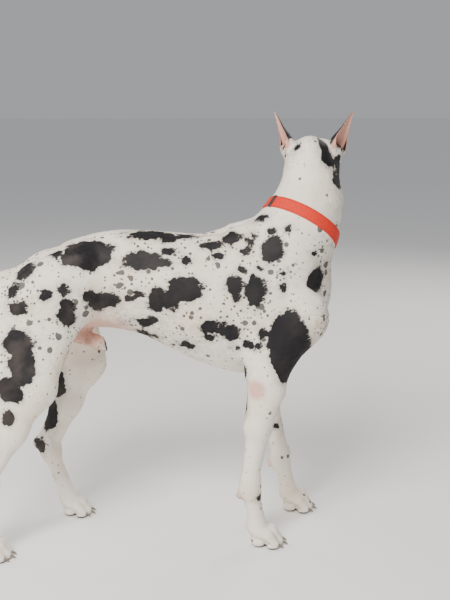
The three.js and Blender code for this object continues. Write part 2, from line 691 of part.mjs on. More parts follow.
// A closed band between two depths, its profile given as pairs of axial place and depth.
function band(profile) {
  const points = [];
  const index = [];
  const n = profile.length;
  for (let i = 0; i < COLLAR_STEPS; i++) {
    const angle = (i / COLLAR_STEPS) * 2 * Math.PI;
    for (const [axial, off] of profile) points.push(collarPoint(angle, axial, off));
  }
  for (let i = 0; i < COLLAR_STEPS; i++)
    for (let k = 0; k < n; k++) {
      const [a, b] = [i * n + k, i * n + ((k + 1) % n)];
      const [c, d] = [((i + 1) % COLLAR_STEPS) * n + k, ((i + 1) % COLLAR_STEPS) * n + ((k + 1) % n)];
      index.push([a, b, c], [b, d, c]);
    }
  return closedSolid(points, index);
}
// A solid from points and triangles, turned inside out if its triangles look inwards.
function closedSolid(positions, triangles) {
  const solid = solidOf({ positions, triangles });
  if (solid.volume() > 0) return solid;
  return solidOf({ positions, triangles: triangles.map(([a, b, c]) => [a, c, b]) });
}
const half = COLLAR_WIDTH / 2;
const SINK = 1.6; // how deep the band presses into the neck
const collarBand = band([
  [-half, -SINK],
  [-half, COLLAR_THICK - SINK - 0.8],
  [-half + 1.2, COLLAR_THICK - SINK],
  [half - 1.2, COLLAR_THICK - SINK],
  [half, COLLAR_THICK - SINK - 0.8],
  [half, -SINK],
]);
const collarGroove = band([
  [-half - GAP, -SINK - GAP],
  [-half - GAP, 14],
  [half + GAP, 14],
  [half + GAP, -SINK - GAP],
]);

// The ears are cropped: tall, narrow and cupped. Each is a curved sheet that stands on the
// side of the skull, nearly closed at its foot and open further up.
const EAR = { foot: [-22, 58, 16], tip: [-38, 104, 120], wide: 29, flat: 0.66, thick: 3.4, tipThick: 1.8 };
const EAR_SINK = 16; // how far its foot goes into the head before it is cut to fit
const EAR_RINGS = 9;
const EAR_STEPS = 14;
const EAR_OPEN = [-0.42, 0.85, -0.3]; // the way its opening looks
function earFrame(side) {
  const m = (p) => new THREE.Vector3(p[0], side * p[1], p[2]);
  const [foot, tip] = [m(EAR.foot), m(EAR.tip)];
  const axis = tip.clone().sub(foot);
  const long = axis.length();
  axis.normalize();
  const open = m(EAR_OPEN);
  open.addScaledVector(axis, -open.dot(axis)).normalize();
  return { foot, axis, long, open, cross: new THREE.Vector3().crossVectors(axis, open) };
}
function earPoint(side, t, u, depth) {
  const { foot, axis, long, open, cross } = earFrame(side);
  const up = Math.max(t, 0);
  const span = radians(300 - 100 * smooth(Math.min(up * 2.5, 1)) - 50 * up);
  const round = EAR.wide * (1 - up) ** 0.75 * (1 + 0.25 * Math.sin(Math.PI * Math.min(up * 1.6, 1))) + 2.2;
  const angle = Math.PI + (u - 0.5) * span;
  const r = round - depth;
  const shift = round * 0.2 * Math.min(up * 2, 1);
  return foot
    .clone()
    .addScaledVector(axis, t * long)
    .addScaledVector(open, Math.cos(angle) * r * EAR.flat + shift)
    .addScaledVector(cross, Math.sin(angle) * r)
    .applyMatrix4(headMatrix);
}
function earSolid(side) {
  const points = [];
  const index = [];
  const row = 2 * (EAR_STEPS + 1);
  for (let i = 0; i <= EAR_RINGS; i++) {
    const t = i === 0 ? -EAR_SINK / earFrame(side).long : (i - 1) / (EAR_RINGS - 1);
    const thick = EAR.thick + (EAR.tipThick - EAR.thick) * Math.max(t, 0);
    for (let k = 0; k <= EAR_STEPS; k++) points.push(earPoint(side, t, k / EAR_STEPS, 0));
    for (let k = EAR_STEPS; k >= 0; k--) points.push(earPoint(side, t, k / EAR_STEPS, thick));
  }
  for (let i = 0; i < EAR_RINGS; i++)
    for (let k = 0; k < row; k++) {
      const [a, b] = [i * row + k, i * row + ((k + 1) % row)];
      index.push([a, b, a + row], [b, b + row, a + row]);
    }
  for (let k = 0; k < EAR_STEPS; k++) {
    const last = EAR_RINGS * row;
    const [a, b, c, d] = [k, k + 1, row - 1 - k, row - 2 - k];
    index.push([a, c, b], [b, c, d], [last + a, last + b, last + c], [last + b, last + d, last + c]);
  }
  return closedSolid(points, index);
}
// An ear cut to fit the head, with the gap between them on every side.
function seatedEar(side, head) {
  const { axis, open, cross } = earFrame(side);
  const ways = [axis, open, cross, open.clone().negate(), cross.clone().negate()];
  return ways.reduce((ear, way) => {
    const step = way.clone().transformDirection(headMatrix).multiplyScalar(GAP);
    return ear.subtract(head.translate(step.toArray()));
  }, earSolid(side).subtract(head));
}

const eyeSolid = (side, r) => {
  const g = new THREE.IcosahedronGeometry(r, 2).translate(EYE.p[0], side * EYE.p[1], EYE.p[2]);
  return solidFrom(g, headMatrix);
};

// A claw: a short horn that curves down from the end of a toe.
function clawSolid(side, knuckle, size, [out, reach]) {
  const spine = [
    [reach - 2, 12, 4.6],
    [reach + 7, 10.5, 4],
    [reach + 14, 7, 2.8],
    [reach + 18, 3.2, 1.2],
  ];
  const points = [];
  const index = [];
  const n = 8;
  for (const [f, u, r] of spine)
    for (let k = 0; k < n; k++) {
      const a = (k / n) * 2 * Math.PI;
      const s = out * 1.12 + Math.cos(a) * r * 0.8;
      const place = [knuckle[0] + s * size, knuckle[1] + f * size, (u + Math.sin(a) * r) * size];
      points.push(mirrored(place, side));
    }
  for (let i = 0; i < spine.length - 1; i++)
    for (let k = 0; k < n; k++) {
      const [a, b] = [i * n + k, i * n + ((k + 1) % n)];
      index.push([a, b, a + n], [b, b + n, a + n]);
    }
  const last = (spine.length - 1) * n;
  for (let k = 1; k < n - 1; k++) index.push([0, k + 1, k], [last, last + k, last + k + 1]);
  return closedSolid(points, index);
}

// Assembly
const MATERIALS = {
  coat: { color: 0xe8e0d2, roughness: 0.62 },
  nose: { color: 0x1b1819, roughness: 0.4 },
  eye: { color: 0x2a1a10, roughness: 0.08 },
  claw: { color: 0xcdbfa6, roughness: 0.45 },
  collar: { color: 0xe0402c, roughness: 0.55 },
  metal: { color: 0xb9b9b6, roughness: 0.3, metalness: 0.9 },
};
const nodes = [];
function node(name, solid, material) {
  nodes.push({ name, solid: largest(solid), material });
}

// Torso
const TAIL_ROOM = 84; // how wide around the tail's root its cut reaches
const tailCut = (off) => {
  const z = CUTS.tail.normal.clone().normalize();
  const x = at(1, 0, 0);
  const y = new THREE.Vector3().crossVectors(z, x);
  const room = TAIL_ROOM / 2;
  const start = CUTS.tail.point.clone().addScaledVector(z, off);
  start.addScaledVector(x, -room).addScaledVector(y, -room);
  return block(start, [x, y, z], [TAIL_ROOM, TAIL_ROOM, FAR]);
};
const neckCut = (off) => beyond(CUTS.neck.point, CUTS.neck.normal, off);
const headCut = (off) => beyond(CUTS.head.point, CUTS.head.normal, off);
let torso = fleshSolid([-230, -480, 380], [230, 480, 940], 11, 2200);
torso = torso.subtract(neckCut(-GAP / 2)).subtract(tailCut(-GAP / 2));
for (const side of [-1, 1])
  for (const space of Object.values(LEG_SPACE)) torso = torso.subtract(legSpace(side, space, GAP / 2));
node("torso", torso, "coat");

// Neck, head, nose, ears and eyes
const neck = fleshSolid([-120, 190, 690], [190, 560, 1010], 9, 800);
node("neck", neck.intersect(neckCut(GAP / 2)).subtract(headCut(-GAP / 2)).subtract(collarGroove), "coat");
const skull = fleshSolid([-80, 270, 800], [390, 640, 1100], 4, 2300);
const nosePlane = onHead(NOSE.cut, 0, 0);
const noseSpace = beyond(nosePlane, headForward, -GAP / 2).intersect(
  beyond(onHead(0, 0, NOSE.under), headUp, -GAP / 2),
);
let head = skull.intersect(headCut(GAP / 2)).subtract(noseSpace);
for (const side of [-1, 1]) head = head.subtract(eyeSolid(side, EYE.r + GAP));
node("head", head, "coat");
const nose = skull
  .intersect(beyond(nosePlane, headForward, GAP / 2))
  .intersect(beyond(onHead(0, 0, NOSE.under), headUp, GAP / 2));
node("nose", nose, "nose");
for (const [name, side] of [["left", 1], ["right", -1]]) {
  node(`ear_${name}`, seatedEar(side, head), "coat");
  node(`eye_${name}`, eyeSolid(side, EYE.r), "eye");
}

// Tail
const tail = fleshSolid([-60, -580, 225], [60, -320, 780], 5, 400, tailFlesh);
node("tail", tail.intersect(beyond(CUTS.tail.point, CUTS.tail.normal)), "coat");

// Legs, paws and claws
const LIMB_BOX = {
  fore: { wide: 230, back: 140, front: 500, low: 60, high: 720 },
  hind: { wide: 230, back: -560, front: -60, low: 60, high: 860 },
};
const PAW_ROOM = 60; // half the width of the box around a paw
function limb(kind, name, { side, knuckle }, pawTop, size) {
  const { wide, back, front, low, high } = LIMB_BOX[kind];
  const [inner, outer] = side > 0 ? [0, wide] : [-wide, 0];
  const leg = fleshSolid([inner, back, low], [outer, front, high], 8, 900);
  const above = (off) => beyond(at(0, 0, pawTop), at(0, 0, 1), off);
  const upper = leg.intersect(legSpace(side, LEG_SPACE[kind], -GAP / 2));
  node(`${kind}leg_${name}`, upper.intersect(above(GAP / 2)), "coat");
  const pawLow = [side * knuckle[0] - PAW_ROOM, knuckle[1] - PAW_ROOM, -20];
  const pawHigh = [side * knuckle[0] + PAW_ROOM, knuckle[1] + PAW_ROOM + 40, pawTop + 20];
  let paw = fleshSolid(pawLow, pawHigh, 4, 430);
  const ground = beyond(at(0, 0, 0), at(0, 0, -1), 0);
  paw = paw.subtract(above(-GAP / 2)).subtract(ground);
  TOES.forEach((toe, i) => {
    const claw = clawSolid(side, knuckle, size, toe);
    paw = paw.subtract(swollen(side, knuckle, size, toe));
    node(`claw_${kind}_${name}_${i + 1}`, claw, "claw");
  });
  node(`${kind}paw_${name}`, paw, "coat");
}
// The room a claw takes in its toe, wider than the claw by the gap.
function swollen(side, knuckle, size, toe) {
  const claw = clawSolid(side, knuckle, size, toe);
  const shifts = [[1, 0, 0], [-1, 0, 0], [0, 1, 0], [0, -1, 0], [0, 0, 1], [0, 0, -1]];
  return shifts.reduce((sum, s) => sum.add(claw.translate(s.map((x) => x * GAP))), claw);
}
for (const [name, leg] of Object.entries(FORELEGS)) limb("fore", name, leg, FORE_PAW_TOP, 1);
for (const [name, leg] of Object.entries(HINDLEGS))
  limb("hind", name, leg, HIND_PAW_TOP, HIND_PAW_SIZE);

node("collar", collarBand, "collar");

// The whole stands on the floor with the middle of its box over the origin.
const boxes = nodes.map(({ solid }) => solid.boundingBox());
const middle = [0, 1].map((k) => {
  const low = Math.min(...boxes.map((b) => b.min[k]));
  const high = Math.max(...boxes.map((b) => b.max[k]));
  return (low + high) / 2;
});
const floor = Math.min(...boxes.map((b) => b.min[2]));
const dog = new THREE.Group();
dog.name = "dog";
for (const { name, solid, material } of nodes) {
  const m = solid.translate([-middle[0], -middle[1], -floor]).getMesh();
  const geometry = new THREE.BufferGeometry()
    .setAttribute("position", new THREE.BufferAttribute(new Float32Array(m.vertProperties), 3))
    .setIndex(new THREE.BufferAttribute(new Uint32Array(m.triVerts), 1));
  geometry.computeVertexNormals();
  const mesh = new THREE.Mesh(geometry, new THREE.MeshStandardMaterial(MATERIALS[material]));
  mesh.name = name;
  dog.add(mesh);
}
export default dog;
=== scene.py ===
"""A harlequin Great Dane in the photo's pose: one smooth skin with short fur, eyes, claws and collar.

The flesh is the same blend of bones and balls as in the solids, here in millimetres with x to the
dog's left, y to its rear and z up, and metres only once it becomes a mesh.
"""

import math

import bmesh
import bpy
import numpy as np
from mathutils import Matrix, Vector
from mathutils.bvhtree import BVHTree


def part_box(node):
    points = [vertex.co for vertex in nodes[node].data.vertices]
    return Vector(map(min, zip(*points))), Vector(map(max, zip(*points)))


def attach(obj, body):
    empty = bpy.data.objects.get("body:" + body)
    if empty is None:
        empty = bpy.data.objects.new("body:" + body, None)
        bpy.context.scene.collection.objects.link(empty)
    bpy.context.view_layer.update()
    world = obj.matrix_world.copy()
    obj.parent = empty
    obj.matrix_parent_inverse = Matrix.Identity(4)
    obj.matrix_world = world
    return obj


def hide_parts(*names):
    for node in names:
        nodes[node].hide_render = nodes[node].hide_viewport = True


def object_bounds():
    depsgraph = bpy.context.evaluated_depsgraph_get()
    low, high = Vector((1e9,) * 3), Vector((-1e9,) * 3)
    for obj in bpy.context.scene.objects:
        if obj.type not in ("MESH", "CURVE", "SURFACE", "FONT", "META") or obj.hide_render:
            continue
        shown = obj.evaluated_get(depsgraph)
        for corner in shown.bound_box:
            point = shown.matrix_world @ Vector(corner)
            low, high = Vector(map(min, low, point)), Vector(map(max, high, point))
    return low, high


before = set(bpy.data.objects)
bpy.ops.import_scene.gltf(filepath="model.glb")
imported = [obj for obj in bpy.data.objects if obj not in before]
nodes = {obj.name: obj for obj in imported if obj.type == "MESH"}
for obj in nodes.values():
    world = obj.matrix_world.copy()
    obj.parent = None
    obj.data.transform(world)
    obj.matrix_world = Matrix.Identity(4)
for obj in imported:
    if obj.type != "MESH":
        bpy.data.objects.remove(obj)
cad_box = [list(corner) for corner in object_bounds()]
MM = 0.001

# Sizes of the flesh in millimetres, with places as (side, fore, up), then the radii.
# Each row of TRUNK is a cross-section: its place fore, its top, its bottom and half its width.
WITHERS = 845
HEAD_YAW = 72
HEAD_PITCH = 15
TRUNK = np.array([
    [-402, 634, 600, 36],
    [-378, 658, 586, 62],
    [-338, 688, 572, 85],
    [-290, 728, 566, 97],
    [-230, 768, 570, 102],
    [-160, WITHERS - 38, 572, 98],
    [-90, WITHERS - 22, 568, 97],
    [-20, WITHERS - 22, 550, 108],
    [50, WITHERS - 29, 514, 124],
    [120, WITHERS - 38, 478, 134],
    [190, WITHERS - 38, 451, 137],
    [250, WITHERS - 26, 438, 130],
    [310, WITHERS - 40, 446, 116],
    [360, WITHERS - 60, 478, 97],
    [405, WITHERS - 98, 528, 78],
    [445, WITHERS - 142, 590, 54],
], float)
TRUNK_WAIST = 0.54
TRUNK_END = 60
NECK = [
    ((0, 300, 662), 116),
    ((2, 350, 752), 100),
    ((15, 399, 830), 82),
    ((40, 424, 898), 70),
    ((58, 428, 956), 62),
]
FORELEGS = [
    (-1, (122, 288, 452), (116, 250, 166), (115, 272, 58)),
    (1, (120, 298, 455), (96, 360, 163), (92, 388, 58)),
]
SHOULDER_TOP, SHOULDER_JOINT = (46, 236, 778), (100, 382, 612)
HINDLEGS = [
    (-1, (134, -296, 446), (132, -416, 200), (130, -426, 52)),
    (1, (132, -188, 432), (122, -284, 190), (116, -236, 52)),
]
HIP = (84, -270, 656)
RUMP_BONE = (52, -378, 662)
TOES = [(-27, 47), (-10, 61), (10, 61), (27, 47)]
HIND_PAW_SIZE = 0.93
TAIL = [
    ((0, -318, 676), 24),
    ((0, -384, 652), 22),
    ((2, -440, 594), 18.5),
    ((4, -466, 500), 15),
    ((6, -472, 402), 11.5),
    ((6, -482, 314), 8.5),
    ((4, -504, 242), 6),
]
SKULL = (96, 438, 994)
EYE, EYE_R = (69, 37, 13), 13.0
EYE_OUT = (0.52, 0.82, 0.2)
NOSE = (236, 0, 3)
EAR_ROOT_R, EAR_ROOT = 25, (-20, 56, 16)
EAR_FOOT, EAR_TIP = (-22, 58, 16), (-38, 104, 120)
EAR_WIDE, EAR_FLAT, EAR_THICK, EAR_TIP_THICK = 29, 0.66, 3.4, 1.8
EAR_SINK, EAR_TRIM = 16, 0.8
EAR_OPEN = (-0.42, 0.85, -0.3)
HEAD_BLEND = 28
HEAD_REACH = 390
FAR = 3000.0

# The short coat
COAT_DEPTH = 1.5
BOX_MARGIN = 0.00005
MARKINGS = ("mark", "bare", "leather", "ticking", "worn")
rng = np.random.default_rng(7)


def at(side, fore, up):
    return np.array([side, -fore, up], float)


def mirrored(p, side):
    return at(side * p[0], p[1], p[2])


yaw, pitch = math.radians(HEAD_YAW), math.radians(HEAD_PITCH)
HEAD_AXES = np.array([
    at(math.sin(yaw) * math.cos(pitch), math.cos(yaw) * math.cos(pitch), -math.sin(pitch)),
    at(math.cos(yaw), -math.sin(yaw), 0),
    at(math.sin(yaw) * math.sin(pitch), math.cos(yaw) * math.sin(pitch), math.cos(pitch)),
])
HEAD_AT = at(*SKULL)


def on_head(p):
    """Places in the head's frame (forward, left, up) to the dog's."""
    return np.asarray(p, float) @ HEAD_AXES + HEAD_AT


def to_head(v):
    return (v - HEAD_AT) @ HEAD_AXES.T


# The dog's frame to the model's: the solids stand with the middle of their box at the origin.
eye_low, eye_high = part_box("eye_left")
SHIFT = np.array((eye_low + eye_high) / 2) / MM - on_head(EYE)


def smooth_min(a, b, k):
    h = np.maximum(k - np.abs(a - b), 0) / k
    return np.minimum(a, b) - h * h * k / 4


def smooth_max(a, b, k):
    return -smooth_min(-a, -b, k)


def ball(p, radii, blend=20, carve=False):
    p = np.asarray(p, float)
    r = np.asarray(radii if np.ndim(radii) else (radii,) * 3, float)

    def dist(v):
        q = v - p
        k0 = np.linalg.norm(q / r, axis=1)
        k1 = np.maximum(np.linalg.norm(q / r**2, axis=1), 1e-9)
        return k0 * (k0 - 1) / k1

    return dist, p, r.max(), blend, carve


def bone(a, b, ra, rb, blend=20, carve=False, slim=1.0, slim_axis=0):
    a, b = np.asarray(a, float), np.asarray(b, float)
    along = b - a
    length2 = along @ along

    def dist(v):
        q = v - a
        t = np.clip(q @ along / length2, 0, 1)
        q = q - t[:, None] * along
        q[:, slim_axis] /= slim
        return (np.linalg.norm(q, axis=1) - (ra + (rb - ra) * t)) * math.sqrt(slim)

    return dist, (a + b) / 2, math.sqrt(length2) / 2 + max(ra, rb), blend, carve


def trunk():
    """The chest, back and belly, between the cross-sections of TRUNK."""
    fore_at = TRUNK[:, 0]

    def section(fore):
        i = np.clip(np.searchsorted(fore_at, fore, side="left") - 1, 0, len(TRUNK) - 2)
        a, b = TRUNK[i], TRUNK[i + 1]
        before, after = TRUNK[np.maximum(i - 1, 0)], TRUNK[np.minimum(i + 2, len(TRUNK) - 1)]
        run = (b[:, 0] - a[:, 0])[:, None]
        t = np.clip((fore - a[:, 0]) / run[:, 0], 0, 1)[:, None]
        ma = (b - before)[:, 1:] / (b - before)[:, :1] * run
        mb = (after - a)[:, 1:] / (after - a)[:, :1] * run
        h = t * t * (3 - 2 * t)
        return (a[:, 1:] * (1 - h) + b[:, 1:] * h + ma * t * (1 - t) ** 2 - mb * t * t * (1 - t)).T

    def dist(v):
        fore = -v[:, 1]
        top, bottom, wide = section(np.clip(fore, fore_at[0], fore_at[-1]))
        waist = bottom + (top - bottom) * TRUNK_WAIST
        above = v[:, 2] > waist
        high = np.where(above, top - waist, waist - bottom)
        power = np.where(above, 2.15, 1.95)
        around = np.abs(v[:, 0] / wide) ** power + np.abs((v[:, 2] - waist) / high) ** power
        body = (around ** (1 / power) - 1) * np.minimum(wide, high)
        return smooth_max(body, np.maximum(fore_at[0] - fore, fore - fore_at[-1]), TRUNK_END)

    return dist, at(0, 0, 650), 560, 30, False


def chain(line, blend):
    return [bone(at(*p), at(*q), r, s, blend) for (p, r), (q, s) in zip(line, line[1:])]


def shifted(p, side, s, f, u):
    return mirrored((p[0] + s, p[1] + f, p[2] + u), side)


def foreleg(side, elbow, wrist, knuckle):
    def m(p):
        return mirrored(p, side)

    def sh(p, s, f, u):
        return shifted(p, side, s, f, u)

    joint = SHOULDER_JOINT
    middle = [x + (w - x) * 0.45 for x, w in zip(elbow, wrist)]
    return [
        bone(m(SHOULDER_TOP), m(joint), 40, 54, 46, slim=0.66),
        bone(m((44, 190, 756)), m((92, 268, 650)), 34, 46, 46, slim=0.6),
        ball(sh(joint, 6, 6, 0), (44, 44, 48), 40),
        bone(sh(joint, 8, -4, -10), sh(elbow, 0, 14, 22), 54, 42, 40, slim=0.78),
        bone(sh(joint, 4, -92, -10), sh(elbow, -2, -8, 36), 52, 38, 44, slim=0.62),
        bone(sh(elbow, 2, -30, 14), sh(elbow, 0, -4, 0), 16, 32, 16),
        bone(sh(elbow, 0, 4, 4), m(middle), 41, 31, 26, slim=0.84),
        bone(sh(elbow, 6, 22, -30), sh(middle, 4, 8, 20), 27, 20, 24),
        bone(sh(elbow, 0, -14, -34), sh(middle, 0, -12, 10), 26, 19, 24),
        bone(m(middle), sh(wrist, 0, 0, 14), 30, 24, 24, slim=0.9),
        bone(sh(wrist, 0, 3, 14), sh(wrist, 0, 4, -12), 26.5, 25, 14),
        bone(sh(wrist, 2, -16, -6), sh(wrist, 2, -28, -24), 12, 9, 10),
        bone(sh(wrist, 0, 2, -10), m(knuckle), 23, 23, 18),
        *paw(side, knuckle, 1),
    ]


def hindleg(side, stifle, hock, knuckle):
    def m(p):
        return mirrored(p, side)

    def sh(p, s, f, u):
        return shifted(p, side, s, f, u)

    calf = [x + (h - x) * 0.42 for x, h in zip(stifle, hock)]
    heel = (hock[0], hock[1] - 32, hock[2] + 24)
    return [
        bone(m(HIP), sh(stifle, -2, -18, 34), 88, 58, 60, slim=0.56),
        bone(sh(HIP, -6, 46, 4), sh(stifle, 0, 8, 24), 58, 44, 50, slim=0.56),
        bone(m(RUMP_BONE), sh(stifle, -14, -66, 44), 50, 42, 50, slim=0.62),
        ball(sh(stifle, 2, 12, 2), (33, 40, 42), 30),
        bone(m(stifle), m(calf), 47, 36, 34, slim=0.76),
        bone(sh(stifle, -4, -58, 24), sh(calf, 0, -26, -20), 36, 22, 34, slim=0.8),
        bone(m(calf), sh(hock, 0, 0, 14), 33, 24, 26, slim=0.78),
        bone(sh(calf, 0, -30, -16), m(heel), 14, 11, 20, slim=0.8),
        bone(sh(hock, 0, 0, 8), m(heel), 25, 14, 14, slim=0.84),
        ball(sh(hock, 0, 4, 0), (25, 27, 30), 14),
        bone(m(hock), m(knuckle), 23, 21, 18),
        *paw(side, knuckle, HIND_PAW_SIZE),
    ]


def paw(side, knuckle, size):
    def local(s, f, u):
        return mirrored((knuckle[0] + s * size, knuckle[1] + f * size, u * size), side)

    made = []
    for out, reach in TOES:
        made += [
            bone(local(out * 0.66, -4, 46), local(out, reach - 24, 38), 16 * size, 15 * size, 7),
            bone(local(out, reach - 24, 38), local(out * 1.1, reach - 6, 16), 14.5 * size, 12.5 * size, 5),
            ball(local(out * 1.04, reach - 10, 6), (11 * size, 16 * size, 9 * size), 5),
        ]
    return made + [
        ball(local(0, 2, 14), (27 * size, 22 * size, 18 * size), 12),
        bone(local(0, -6, 56), local(0, 10, 34), 24 * size, 22 * size, 14),
    ]


def body():
    made = [trunk()]
    for side in (-1, 1):
        made += [
            ball(mirrored((44, 390, 592), side), (46, 54, 76), 50),
            ball(mirrored((58, -222, 704), side), (52, 76, 54), 56),
            bone(mirrored((30, 200, 762), side), mirrored((34, -190, 758), side), 28, 28, 44),
            bone(mirrored((22, 218, 818), side), mirrored((20, 254, 822), side), 13, 14, 16),
            ball(mirrored((80, -172, 764), side), (18, 30, 18), 30),
        ]
    made += [
        ball(at(0, 436, 664), (40, 38, 58), 44),
        bone(at(0, -235, 566), at(0, -134, 531), 22, 18, 26),
        bone(at(0, -136, 529), at(0, -120, 514), 15, 10, 10),
        *chain(NECK, 60),
        bone(at(0, 282, 768), at(17, 356, 848), 36, 38, 44),
    ]
    for leg in FORELEGS:
        made += foreleg(*leg)
    for leg in HINDLEGS:
        made += hindleg(*leg)
    tail = chain(TAIL, 12)
    return made + [piece[:3] + (30, False) for piece in tail[:2]] + tail[2:]


def eye_front(side, far):
    out = np.array([EYE_OUT[0], side * EYE_OUT[1], EYE_OUT[2]])
    return np.array([EYE[0], side * EYE[1], EYE[2]]) + out / np.linalg.norm(out) * far


def head():
    y = {"slim_axis": 1}
    made = [
        ball((-4, 0, 0), (78, 62, 56), 20),
        ball((-70, 0, 14), (36, 26, 26), 30),
        bone((-58, 0, -20), (-18, 0, -52), 50, 46, 34),
    ]
    for s in (-1, 1):
        made += [
            ball((18, s * 34, 22), (48, 28, 30), 24),
            ball((64, s * 25, 30), (24, 20, 19), 20),
            ball((4, s * 45, -30), (44, 24, 42), 26),
            bone((76, s * 42, -6), (4, s * 58, -2), 12, 13, 18),
            ball((EYE[0] - 1, s * EYE[1], EYE[2]), 16.5, 12),
        ]
    made += [
        bone((-10, s * 32, 0), (EAR_ROOT[0], s * EAR_ROOT[1], EAR_ROOT[2]), 30, EAR_ROOT_R, 16)
        for s in (-1, 1)
    ]
    made += [
        bone((60, 0, 22), (98, 0, 14), 34, 30, 28),
        bone((88, 0, -2), (214, 0, -6), 38, 31, 22, slim=1.02, **y),
        bone((92, 0, 12), (222, 0, 4), 19, 16, 20, slim=1.5, **y),
    ]
    for s in (-1, 1):
        made += [
            bone((212, s * 14, -28), (176, s * 24, -44), 23, 25, 14, slim=0.8, **y),
            bone((176, s * 24, -44), (112, s * 32, -38), 26, 23, 16, slim=0.74, **y),
            ball((150, s * 30, -56), (36, 11, 22), 12),
            bone((112, s * 32, -36), (70, s * 40, -30), 22, 26, 24, slim=0.8, **y),
        ]
    made += [
        bone((200, 0, -62), (110, 0, -66), 14, 21, 3, slim=1.25, **y),
        bone((110, 0, -60), (10, 0, -66), 23, 36, 20, slim=1.25, **y),
        ball((NOSE[0] - 2, 0, NOSE[2]), (17, 21, 17), 8),
        bone((100, 0, 56), (112, 0, 58), 24, 28, 24, True),
    ]
    for s in (-1, 1):
        made += [
            ball((92, s * 43, 2), (17, 12, 14), 16, True),
            ball(eye_front(s, 13.5), (9, 9, 6.2), 3, True),
            ball((253, s * 8.5, 2), (9, 4.6, 5.2), 2.5, True),
            bone((250, s * 12, 0), (242, s * 20, -3), 3, 1.8, 2, True),
            bone((102, s * 48, -60), (86, s * 51, -54), 3.4, 1.6, 5, True),
        ]
    return made + [bone((252, 0, -12), (240, 0, -38), 2, 2, 3, True)]


BODY, HEAD = body(), head()


def blended(pieces, v):
    d = np.full(len(v), FAR)
    for dist, middle, reach, blend, carve in pieces:
        away = np.linalg.norm(v - middle, axis=1) - reach
        near = away < (blend - d if carve else d + blend)
        if not near.any():
            continue
        this = dist(v[near])
        d[near] = smooth_max(d[near], -this, blend) if carve else smooth_min(d[near], this, blend)
    return d


def flesh(v):
    """The distance from places in the dog's frame to the flesh, in millimetres."""
    d = blended(BODY, v)
    near = np.linalg.norm(v - HEAD_AT, axis=1) < HEAD_REACH
    if near.any():
        d[near] = smooth_min(blended(HEAD, to_head(v[near])), d[near], HEAD_BLEND)
    return d


def slope(v, d, e=0.4):
    """The way the distance grows fastest at each place, where it is d."""
    return np.stack([(flesh(v + e * way) - d) / e for way in np.eye(3)], axis=1)


def settled(v, depth, most=8.0):
    """Moves places on to the surface that lies this deep under the flesh's."""
    for _ in range(2):
        d = flesh(v)
        g = slope(v, d)
        size2 = np.maximum((g * g).sum(1), 0.25)
        step = np.clip((d + depth) / size2, -most, most)
        v = v - g * step[:, None]
    return v


def to_model(v):
    return (v + SHIFT) * MM


def kept_in(co):
    """Places in the model, moved the last fraction of a millimetre into the solids' box."""
    return np.clip(co, np.array(cad_box[0]) + BOX_MARGIN, np.array(cad_box[1]) - BOX_MARGIN)


def to_dog(v):
    return v / MM - SHIFT


def vertices(mesh):
    co = np.empty(len(mesh.vertices) * 3)
    mesh.vertices.foreach_get("co", co)
    return co.reshape(-1, 3)


def set_vertices(mesh, co):
    mesh.vertices.foreach_set("co", np.ascontiguousarray(co, dtype=np.float32).ravel())
    mesh.update()


def new_object(name, mesh):
    made = bpy.data.objects.new(name, mesh)
    bpy.context.scene.collection.objects.link(made)
    return made


def mesh_object(name, verts, faces):
    """An object from vertices in the dog's frame, smooth shaded."""
    mesh = bpy.data.meshes.new(name)
    mesh.from_pydata([tuple(p) for p in to_model(np.asarray(verts, float))], [], faces)
    mesh.validate()
    mesh.update()
    made = new_object(name, mesh)
    shade_smooth(made)
    return made


def shade_smooth(made):
    made.data.polygons.foreach_set("use_smooth", [True] * len(made.data.polygons))


def applied(made):
    """The object's mesh with its modifiers applied."""
    graph = bpy.context.evaluated_depsgraph_get()
    mesh = bpy.data.meshes.new_from_object(made.evaluated_get(graph))
    made.modifiers.clear()
    made.data = mesh
    return made


# The camera: level with the dog's back on its right, seeing it a little from behind
PHOTO = (450, 600)
CAMERA_AT = at(-2319, -7, 1130)
CAMERA_TURN = math.radians(5)
FOCAL_PX = 911
HORIZON_ROW = 107
camera_pitch = math.atan((PHOTO[1] / 2 - HORIZON_ROW) / FOCAL_PX)
SEE = at(
    math.cos(CAMERA_TURN) * math.cos(camera_pitch),
    math.sin(CAMERA_TURN) * math.cos(camera_pitch),
    -math.sin(camera_pitch),
)
SEE_RIGHT = at(-math.sin(CAMERA_TURN), math.cos(CAMERA_TURN), 0)
SEE_UP = np.cross(SEE_RIGHT, SEE)


def photo_ray(x, y):
    """The way from the camera through a pixel of the photo."""
    return SEE * FOCAL_PX + SEE_RIGHT * (x - PHOTO[0] / 2) - SEE_UP * (y - PHOTO[1] / 2)


def camera():
    data = bpy.data.cameras.new("camera")
    data.sensor_width = 36
    data.lens = FOCAL_PX / PHOTO[1] * data.sensor_width
    made = new_object("camera", data)
    made.matrix_world = Matrix([
        [SEE_RIGHT[k], SEE_UP[k], -SEE[k], to_model(CAMERA_AT)[k]] for k in range(3)
    ] + [[0, 0, 0, 1]])
    bpy.context.scene.camera = made


# The skin
FLESH = [n for n in nodes if n.split("_")[0] in (
    "torso", "neck", "head", "nose", "ear", "tail", "foreleg", "hindleg", "forepaw", "hindpaw",
)]
SKIN_CELL = 5.0


def fused_nodes():
    """The flesh nodes grown together into one even mesh, without the ears."""
    parts = [n for n in FLESH if not n.startswith("ear")] + ["eye_left", "eye_right"]
    joined = bmesh.new()
    for name in parts:
        joined.from_mesh(nodes[name].data)
    mesh = bpy.data.meshes.new("skin")
    joined.to_mesh(mesh)
    joined.free()
    made = new_object("skin", mesh)
    remesh = made.modifiers.new("even", "REMESH")
    remesh.mode = "VOXEL"
    remesh.voxel_size = SKIN_CELL * MM
    return applied(made)


